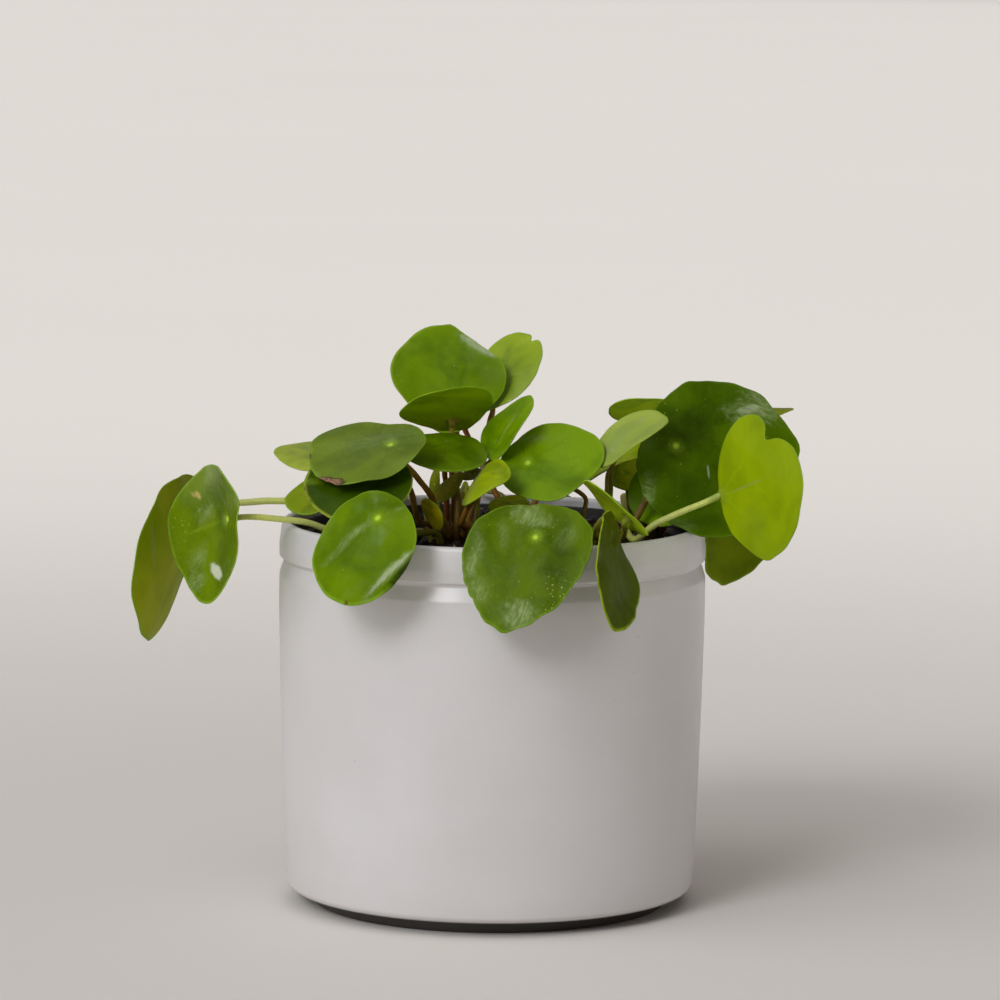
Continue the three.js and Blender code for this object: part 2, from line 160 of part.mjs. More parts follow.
    path: [[-8.19, -16.91, 150.4], [-7.53, -16.81, 151.62], [-7.03, -16.56, 153.01], [-6.66, -16.16, 154.52], [-6.41, -15.65, 156.14], [-6.26, -15.03, 157.85], [-6.2, -14.34, 159.6], [-6.21, -13.59, 161.38], [-6.28, -12.8, 163.15], [-6.38, -12, 164.9], [-6.51, -11.2, 166.59], [-6.64, -10.43, 168.19], [-6.77, -9.7, 169.69], [-6.87, -9.04, 171.04], [-6.92, -8.47, 172.24], [-6.93, -8, 173.23]] },
  { name: "leaf_back_right_high", tint: MID, stalk: PALE,
    turn: [155, 45, 0], size: [38, 0.975, 0.231], outline: [0.0003, -0.0139, -0.0118, 0, 0], cup: [-0.3404, -0.0686, 0.048], notch: [0, 0, 1], stalkRadius: 1.22,
    path: [[65.55, 29.98, 150.4], [66.34, 31.17, 152.84], [67.19, 32.34, 155.28], [68.08, 33.51, 157.72], [69.02, 34.65, 160.16], [69.98, 35.76, 162.61], [70.96, 36.83, 165.07], [72.03, 38, 167.54], [73.11, 39.57, 169.51], [74.19, 41.09, 171.49], [75.25, 42.59, 173.48], [76.28, 44.07, 175.45], [77.28, 45.54, 177.39], [78.24, 47.02, 179.31], [79.15, 48.5, 181.18], [80, 50, 183]] },
  { name: "leaf_back_right_mid", tint: DEEP, stalk: PALE,
    turn: [130, 22, 10], size: [36, 0.941, 0.237], outline: [0.0051, -0.0239, -0.0036, -0.0116, 0.0044], cup: [-0.1901, -0.128, -0.1221], notch: [0, 0, 1], stalkRadius: 1.21,
    path: [[68, 27.49, 147.6], [69.64, 28.34, 153.67], [71.44, 29.78, 155.49], [73.42, 31.73, 156.08], [75.56, 34.08, 156.24], [77.87, 36.72, 156], [80.36, 39.54, 155.42], [82.47, 43.21, 154.59], [83.7, 47.08, 154.04], [85.05, 50.88, 153.35], [86.47, 54.53, 152.6], [87.9, 57.97, 151.88], [89.31, 61.12, 151.27], [90.66, 63.89, 150.86], [91.9, 66.21, 150.74], [93, 68, 151]] },
  { name: "leaf_back_right_low", tint: BRIGHT, stalk: PALE,
    turn: [150, 26, -5], size: [46, 0.975, 0.243], outline: [-0.0039, 0.0104, -0.0007, -0.0116, -0.0032], cup: [-0.3831, -0.066, -0.0333], notch: [0, 0, 1], stalkRadius: 1.27,
    path: [[56.16, 27.88, 147.6], [54.57, 29.73, 151.75], [53.51, 32.7, 154.58], [52.93, 36.63, 156.26], [52.77, 41.36, 157.01], [52.99, 46.75, 157.02], [53.52, 52.63, 156.51], [54.32, 58.84, 155.7], [55.34, 65.24, 154.39], [56.51, 71.66, 150.72], [57.8, 77.96, 147.3], [59.14, 83.96, 144.24], [60.48, 89.52, 141.65], [61.77, 94.49, 139.65], [62.96, 98.7, 138.39], [64, 102, 138]] },
  { name: "leaf_back_right_inner", tint: MID, stalk: PALE,
    turn: [158, 34, 0], size: [30, 0.939, 0.261], outline: [-0.0165, -0.012, -0.031, -0.0053, -0.0096], cup: [-0.083, -0.0087, -0.0264], notch: [0, 0, 1], stalkRadius: 1.18,
    path: [[58.83, 30.13, 150.4], [58.3, 32.02, 153.67], [58.27, 34.58, 156.23], [58.66, 37.71, 158.17], [59.42, 41.31, 159.56], [60.49, 45.28, 160.49], [61.81, 49.53, 161.03], [63.32, 53.96, 161.27], [64.96, 58.47, 161.28], [66.67, 62.96, 161.16], [68.38, 67.33, 160.98], [70.05, 71.48, 160.81], [71.6, 75.33, 160.75], [72.98, 78.76, 160.88], [74.14, 81.68, 161.27], [75, 84, 162]] },
  { name: "leaf_back_centre_low", tint: DEEP, stalk: PALE,
    turn: [180, 28, 5], size: [52, 0.963, 0.236], outline: [0.0057, -0.0313, -0.0256, -0.0144, 0.0031], cup: [-0.0202, -0.1284, -0.042], notch: [0, 0, 1], stalkRadius: 1.3,
    path: [[11.04, 44.97, 150.4], [11.4, 47.27, 154.09], [11.87, 50.31, 156.55], [12.44, 53.97, 157.97], [13.1, 58.15, 158.53], [13.81, 62.74, 158.41], [14.57, 67.64, 157.82], [15.35, 72.73, 156.95], [16.13, 77.92, 156.03], [16.89, 83.1, 155.28], [17.62, 88.17, 153.84], [18.29, 93, 149.62], [18.88, 97.51, 146.07], [19.37, 101.59, 143.24], [19.76, 105.12, 141.19], [20, 108, 140]] },
  { name: "leaf_back_left_low", tint: MID, stalk: PALE,
    turn: [204, 26, -5], size: [46, 0.979, 0.245], outline: [0.001, -0.0162, -0.002, -0.0025, -0.0115], cup: [-0.1599, -0.1576, 0.0954], notch: [0, 0, 1], stalkRadius: 1.27,
    path: [[-39.66, 26.6, 150.4], [-39.03, 29.3, 154.53], [-38.56, 32.9, 157.27], [-38.25, 37.28, 158.82], [-38.08, 42.32, 159.39], [-38.06, 47.89, 159.19], [-38.18, 53.87, 158.43], [-38.42, 60.13, 157.36], [-38.8, 66.56, 156.2], [-39.3, 73.04, 155.23], [-39.92, 79.45, 153.57], [-40.17, 84.72, 148.83], [-40.53, 89.67, 144.84], [-40.97, 94.13, 141.64], [-41.46, 97.96, 139.33], [-42, 101, 138]] },
  { name: "leaf_back_left_mid", tint: BRIGHT, stalk: PALE,
    turn: [218, 50, 0], size: [30, 0.944, 0.202], outline: [-0.001, 0.0055, -0.0058, -0.0071, -0.0095], cup: [-0.284, -0.174, -0.0944], notch: [0, 0, 1], stalkRadius: 1.18,
    path: [[-43.14, 26.81, 147.6], [-43.36, 28.21, 149.69], [-43.57, 29.71, 151.72], [-43.78, 31.29, 153.69], [-43.99, 32.94, 155.62], [-44.21, 34.64, 157.5], [-44.44, 36.37, 159.35], [-44.68, 38.12, 161.16], [-44.96, 39.88, 162.94], [-45.26, 41.62, 164.7], [-45.6, 43.34, 166.44], [-45.97, 45.01, 168.16], [-46.4, 46.63, 169.88], [-46.87, 48.18, 171.58], [-47.4, 49.64, 173.29], [-48, 51, 175]] },
  { name: "leaf_back_centre_mid", tint: BRIGHT, stalk: PALE,
    turn: [165, 50, 0], size: [30, 0.972, 0.234], outline: [0.0011, 0.0016, 0.0225, -0.0017, 0.0027], cup: [-0.1412, -0.1654, -0.1422], notch: [0, 0, 1], stalkRadius: 1.18,
    path: [[14.21, 43.47, 147.6], [14.97, 44.43, 149.49], [15.74, 45.38, 151.39], [16.53, 46.32, 153.3], [17.33, 47.25, 155.21], [18.13, 48.18, 157.11], [18.92, 49.11, 159.01], [19.71, 50.04, 160.89], [20.48, 50.98, 162.76], [21.23, 51.93, 164.61], [21.96, 52.89, 166.43], [22.65, 53.87, 168.22], [23.31, 54.86, 169.98], [23.92, 55.88, 171.7], [24.49, 56.93, 173.37], [25, 58, 175]] },
  { name: "leaf_back_top", tint: BRIGHT, stalk: RED,
    turn: [178, 38, 0], size: [32, 0.96, 0.258], outline: [0.0042, -0.0339, -0.0029, -0.0047, -0.0024], cup: [-0.0962, -0.0276, 0.0536], notch: [0, 0, 1], stalkRadius: 1.19,
    path: [[4.74, 42.49, 150.4], [2.73, 44.1, 154.41], [0.65, 45.62, 158.49], [-1.47, 47.07, 162.6], [-3.62, 48.47, 166.74], [-5.77, 49.86, 170.89], [-7.9, 51.25, 175.02], [-9.97, 52.66, 179.14], [-11.98, 54.13, 183.2], [-13.89, 55.68, 187.21], [-15.68, 57.33, 191.14], [-17.33, 59.11, 194.97], [-18.81, 61.05, 198.69], [-20.1, 63.15, 202.28], [-21.17, 65.46, 205.72], [-22, 68, 209]] },
  { name: "leaf_back_young_right", tint: BRIGHT, stalk: PALE,
    turn: [130, 45, 0], size: [15, 0.958, 0.254], outline: [-0.0001, -0.0211, -0.0101, -0.0004, 0.0181], cup: [-0.1305, -0.1774, -0.0378], notch: [0, 0, 1], stalkRadius: 1.1,
    path: [[62.2, 30.81, 147.6], [62.32, 31.54, 149.53], [62.6, 32.36, 151.27], [63.04, 33.25, 152.82], [63.61, 34.21, 154.2], [64.29, 35.21, 155.43], [65.05, 36.24, 156.52], [65.87, 37.28, 157.5], [66.74, 38.31, 158.37], [67.62, 39.32, 159.16], [68.49, 40.3, 159.87], [69.34, 41.21, 160.54], [70.13, 42.06, 161.17], [70.86, 42.82, 161.78], [71.49, 43.47, 162.38], [72, 44, 163]] },
  { name: "leaf_back_left_high", tint: MID, stalk: PALE,
    turn: [186, 30, 4], size: [34, 0.937, 0.247], outline: [0.0039, -0.0416, 0.0073, -0.0046, 0.0114], cup: [-0.1875, -0.0126, -0.0367], notch: [0, 0, 1], stalkRadius: 1.2,
    path: [[7.57, 44.49, 147.6], [6.81, 46.42, 150.99], [5.75, 48.95, 153.42], [4.43, 52.01, 155.03], [2.91, 55.5, 155.96], [1.23, 59.33, 156.36], [-0.56, 63.42, 156.37], [-2.42, 67.68, 156.15], [-4.3, 72.02, 155.85], [-6.15, 76.36, 155.66], [-7.93, 80.62, 155.43], [-9.59, 84.7, 154.99], [-11.08, 88.52, 153.84], [-12.29, 91.38, 150.25], [-13.28, 94.25, 147.66], [-14, 97, 146]] },
  { name: "leaf_back_left_out", tint: BRIGHT, stalk: PALE,
    turn: [226, 40, 0], size: [30, 0.946, 0.246], outline: [0.0106, -0.0115, -0.0185, 0.0015, 0.0002], cup: [-0.2343, -0.2018, 0.1398], notch: [0, 0, 1], stalkRadius: 1.18,
    path: [[-46.3, 25.4, 150.4], [-47.49, 27.2, 153.66], [-48.8, 29.72, 155.95], [-50.22, 32.87, 157.39], [-51.72, 36.54, 158.11], [-53.31, 40.63, 158.25], [-54.96, 45.03, 157.95], [-56.67, 49.65, 157.34], [-58.43, 54.38, 156.56], [-60.23, 59.13, 155.77], [-62.06, 63.8, 154.97], [-63.32, 67.67, 153.07], [-64.57, 71.25, 151.53], [-65.78, 74.41, 150.45], [-66.94, 77.03, 149.9], [-68, 79, 150]] },
];

// --------------------------------------------------------------- pot, soil
const group = new THREE.Group();
group.name = "potted_pilea";

function add(name, geometry, material) {
  const mesh = new THREE.Mesh(geometry, material);
  mesh.name = name;
  group.add(mesh);
}

// A solid of revolution from a profile that starts and ends on the axis.
function revolve(profile, segments) {
  const g = new THREE.LatheGeometry(
    profile.map(([r, z]) => new THREE.Vector2(r, z)),
    segments,
  );
  g.rotateX(Math.PI / 2);
  return g;
}

const bandFoot = POT_HEIGHT - RIM_BAND;
const shoulderTop = bandFoot - 2.6;
const shoulderFoot = shoulderTop - SHOULDER;
const groove = POT_RADIUS - GROOVE_DEPTH;
const inside = POT_RADIUS - WALL;
add(
  "ceramic_pot",
  revolve(
    [
      [0, 0],
      [FOOT_RADIUS, 0],
      [FOOT_RADIUS, FOOT_HEIGHT],
      [BODY_LOW_RADIUS - 3.2, FOOT_HEIGHT + 0.1],
      [BODY_LOW_RADIUS - 1.2, FOOT_HEIGHT + 1.3],
      [BODY_LOW_RADIUS - 0.4, FOOT_HEIGHT + 4],
      [BODY_LOW_RADIUS, 16],
      [BODY_LOW_RADIUS + 1, 43],
      [POT_RADIUS - 0.1, shoulderFoot],
      [POT_RADIUS, shoulderFoot + 6],
      [POT_RADIUS - 0.25, shoulderTop - 6],
      [POT_RADIUS - 0.75, shoulderTop - 2.6],
      [groove, shoulderTop],
      [groove, bandFoot - 1],
      [POT_RADIUS - 0.3, bandFoot],
      [POT_RADIUS, bandFoot + 1.2],
      [POT_RADIUS, POT_HEIGHT - 2],
      [POT_RADIUS - 0.6, POT_HEIGHT - 0.6],
      [POT_RADIUS - 2, POT_HEIGHT],
      [inside + 1.2, POT_HEIGHT - 0.3],
      [inside + 0.2, POT_HEIGHT - 1.6],
      [inside, POT_HEIGHT - 4],
      [BODY_LOW_RADIUS - WALL, 20],
      [BODY_LOW_RADIUS - WALL - 2, FLOOR_TOP + 1],
      [BODY_LOW_RADIUS - WALL - 5, FLOOR_TOP],
      [0, FLOOR_TOP],
    ],
    POT_SEGMENTS,
  ),
  GLAZE,
);

const growFoot = FLOOR_TOP + GAP;
const growStep = GROW_RIM_Z - 5;
add(
  "nursery_pot",
  revolve(
    [
      [0, growFoot],
      [GROW_LOW_RADIUS, growFoot],
      [GROW_TOP_RADIUS, growStep - 0.5],
      [GROW_RIM_RADIUS, growStep],
      [GROW_RIM_RADIUS, GROW_RIM_Z],
      [GROW_RIM_RADIUS - GROW_WALL, GROW_RIM_Z],
      [GROW_RIM_RADIUS - GROW_WALL, growStep + 1.2],
      [GROW_TOP_RADIUS - GROW_WALL, growStep + 0.7],
      [GROW_TOP_RADIUS - GROW_WALL, growStep - 0.5],
      [GROW_LOW_RADIUS - GROW_WALL, growFoot + GROW_WALL],
      [0, growFoot + GROW_WALL],
    ],
    POT_SEGMENTS,
  ),
  GROW_PLASTIC,
);

const soilRadius = GROW_TOP_RADIUS - GROW_WALL - GAP;
add(
  "potting_soil",
  revolve(
    [
      [0, growFoot + GROW_WALL + GAP],
      [GROW_LOW_RADIUS - GROW_WALL - GAP, growFoot + GROW_WALL + GAP],
      [soilRadius, growStep - 0.5],
      [soilRadius, SOIL_TOP],
      [0, SOIL_TOP],
    ],
    POT_SEGMENTS,
  ),
  SOIL,
);

for (const [name, [x, y, r]] of Object.entries(STEMS)) {
  const g = revolve(
    [
      [0, SOIL_TOP + GAP],
      [r, SOIL_TOP + GAP],
      [r, STEM_TOP - 2.5],
      [r - 2.2, STEM_TOP - 0.4],
      [0, STEM_TOP],
    ],
    14,
  );
  g.translate(x, y, 0);
  add(name, g, BARK);
}

// ------------------------------------------------------------------- leaf
const rad = THREE.MathUtils.degToRad;

// The blade's own frame: n out of its upper face, u towards its tip, v across.
function bladeFrame([azimuth, elevation, spin]) {
  const a = rad(azimuth), e = rad(elevation), s = rad(spin);
  const n = new THREE.Vector3(Math.sin(a) * Math.cos(e), -Math.cos(a) * Math.cos(e), Math.sin(e));
  const level = new THREE.Vector3(Math.cos(a), Math.sin(a), 0);
  const downhill = new THREE.Vector3().crossVectors(level, n).normalize();
  const u = downhill.multiplyScalar(Math.cos(s)).addScaledVector(level, Math.sin(s));
  const v = new THREE.Vector3().crossVectors(n, u);
  return { u, v, n };
}

// The rim point at angle t about the blade's centre, measured from the joint.
function rim(leaf, t) {
  const [length, width, offset] = leaf.size;
  const [s2, c3, s3, c4, s4] = leaf.outline;
  const [depth, direction, spread] = leaf.notch;
  let r = 1 + s2 * Math.sin(2 * t) + c3 * Math.cos(3 * t) + s3 * Math.sin(3 * t) + c4 * Math.cos(4 * t) + s4 * Math.sin(4 * t);
  if (depth) {
    const away = Math.atan2(Math.sin(t - rad(direction)), Math.cos(t - rad(direction)));
    r -= depth * Math.exp(-((away / rad(spread)) ** 2));
  }
  return [0.5 * length * r * Math.cos(t) + offset * length, 0.5 * length * width * r * Math.sin(t)];
}

function rise(leaf, x, y) {
  const length = leaf.size[0];
  const [along, across, diagonal] = leaf.cup;
  const p = x / length, q = y / length;
  return length * (along * p * p + across * q * q + diagonal * p * q);
}

// Drops the points of a line that lie within tolerance of the line without them.
function simplify(points, tolerance) {
  if (points.length < 3) return points;
  const first = points[0], last = points[points.length - 1];
  const line = new THREE.Line3(first, last), near = new THREE.Vector3();
  let worst = 0, at = 0;
  for (let i = 1; i < points.length - 1; i++) {
    const d = line.closestPointToPoint(points[i], true, near).distanceTo(points[i]);
    if (d > worst) { worst = d; at = i; }
  }
  if (worst < tolerance) return [first, last];
  return [...simplify(points.slice(0, at + 1), tolerance).slice(0, -1), ...simplify(points.slice(at), tolerance)];
}

const STALK_SIDES = 6;

function leafGeometry(leaf) {
  const around = leaf.size[0] > 26 ? 18 : 12;
  const per = around / STALK_SIDES;
  const { u, v, n } = bladeFrame(leaf.turn);
  const path = leaf.path.map((p) => new THREE.Vector3(...p));
  const joint = path[path.length - 1];
  const vertices = [], triangles = [];
  const push = (p) => vertices.push(p.x, p.y, p.z) / 3 - 1;

  // A point of the upper (side 1) or lower (side -1) face.
  const face = (x, y, side) => {
    const h = 0.01;
    const sx = (rise(leaf, x + h, y) - rise(leaf, x - h, y)) / (2 * h);
    const sy = (rise(leaf, x, y + h) - rise(leaf, x, y - h)) / (2 * h);
    const out = new THREE.Vector3().addScaledVector(u, -sx).addScaledVector(v, -sy).add(n).normalize();
    return joint.clone().addScaledVector(u, x).addScaledVector(v, y).addScaledVector(n, rise(leaf, x, y))
      .addScaledVector(out, (side * BLADE_THICKNESS) / 2);
  };
  const edge = [...Array(around).keys()].map((i) => rim(leaf, (2 * Math.PI * i) / around));
  const ring = (share, side) => edge.map(([x, y]) => push(face(x * share, y * share, side)));

  const crown = push(face(0, 0, 1));
  const topInner = ring(0.55, 1), topRim = ring(1, 1);
  const lowInner = ring(0.55, -1), lowRim = ring(1, -1);
  for (let i = 0; i < around; i++) {
    const j = (i + 1) % around;
    triangles.push(crown, topInner[i], topInner[j]);
    triangles.push(topInner[i], topRim[i], topRim[j], topInner[i], topRim[j], topInner[j]);
    triangles.push(topRim[i], lowRim[i], lowRim[j], topRim[i], lowRim[j], topRim[j]);
    triangles.push(lowInner[i], lowRim[j], lowRim[i], lowInner[i], lowInner[j], lowRim[j]);
  }

  // The stalk: its first ring lies in the underside, the last at the stem.
  const r = leaf.stalkRadius;
  const starts = [...Array(STALK_SIDES).keys()].map((k) => Math.atan2(edge[k * per][1], edge[k * per][0]));
  for (let k = 1; k < STALK_SIDES; k++) while (starts[k] < starts[k - 1]) starts[k] += 2 * Math.PI;
  let previous = starts.map((t) => push(face(r * Math.cos(t), r * Math.sin(t), -1)));
  const socket = previous;
  for (let k = 0; k < STALK_SIDES; k++) {
    const next = (k + 1) % STALK_SIDES, half = Math.floor(per / 2) + (per % 2);
    for (let i = 0; i < half; i++)
      triangles.push(socket[k], lowInner[(k * per + i + 1) % around], lowInner[k * per + i]);
    triangles.push(socket[k], socket[next], lowInner[(k * per + half) % around]);
    for (let i = half; i < per; i++)
      triangles.push(socket[next], lowInner[(k * per + i + 1) % around], lowInner[(k * per + i) % around]);
  }
  const line = simplify(path, 0.22).reverse();
  const a = u.clone();
  for (let s = 1; s < line.length; s++) {
    const t = new THREE.Vector3().subVectors(line[Math.min(s + 1, line.length - 1)], line[s]).normalize();
    const before = new THREE.Vector3().subVectors(line[s], line[s - 1]).normalize();
    const travel = s + 1 < line.length ? t.add(before).normalize() : before;
    a.addScaledVector(travel, -a.dot(travel)).normalize();
    const b = new THREE.Vector3().crossVectors(a, travel);
    const blend = Math.min(1, s / 2);
    const size = r * 1.05 * THREE.MathUtils.lerp(1, STALK_FLARE, s / (line.length - 1));
    const now = starts.map((start, k) => {
      const angle = THREE.MathUtils.lerp(start, starts[0] + (k * 2 * Math.PI) / STALK_SIDES, blend);
      return push(line[s].clone().addScaledVector(a, size * Math.cos(angle)).addScaledVector(b, size * Math.sin(angle)));
    });
    for (let k = 0; k < STALK_SIDES; k++) {
      const j = (k + 1) % STALK_SIDES;
      triangles.push(previous[k], now[k], now[j], previous[k], now[j], previous[j]);
    }
    previous = now;
  }
  for (let k = 1; k < STALK_SIDES - 1; k++) triangles.push(previous[0], previous[k + 1], previous[k]);

  const g = new THREE.BufferGeometry();
  g.setAttribute("position", new THREE.Float32BufferAttribute(vertices, 3));
  g.setIndex(triangles);
  g.computeVertexNormals();
  return g;
}

for (const leaf of LEAVES)
  add(leaf.name, leafGeometry(leaf), new THREE.MeshStandardMaterial({ color: leaf.tint, roughness: 0.45, metalness: 0 }));

export default group;
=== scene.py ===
import math

import bpy
import numpy as np
from mathutils import Matrix, Vector


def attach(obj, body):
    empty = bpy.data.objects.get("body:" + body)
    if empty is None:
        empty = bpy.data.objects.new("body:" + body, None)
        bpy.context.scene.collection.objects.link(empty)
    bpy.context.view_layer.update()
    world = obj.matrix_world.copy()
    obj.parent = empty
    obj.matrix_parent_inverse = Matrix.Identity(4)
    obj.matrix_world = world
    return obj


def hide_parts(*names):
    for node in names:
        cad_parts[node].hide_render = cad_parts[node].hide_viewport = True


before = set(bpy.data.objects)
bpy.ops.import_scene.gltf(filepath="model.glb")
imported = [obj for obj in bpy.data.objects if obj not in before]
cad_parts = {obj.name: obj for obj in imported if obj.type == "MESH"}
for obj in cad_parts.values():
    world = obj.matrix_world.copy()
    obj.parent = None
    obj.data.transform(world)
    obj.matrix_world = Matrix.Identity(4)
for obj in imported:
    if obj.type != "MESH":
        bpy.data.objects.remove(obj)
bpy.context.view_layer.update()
MM = 0.001

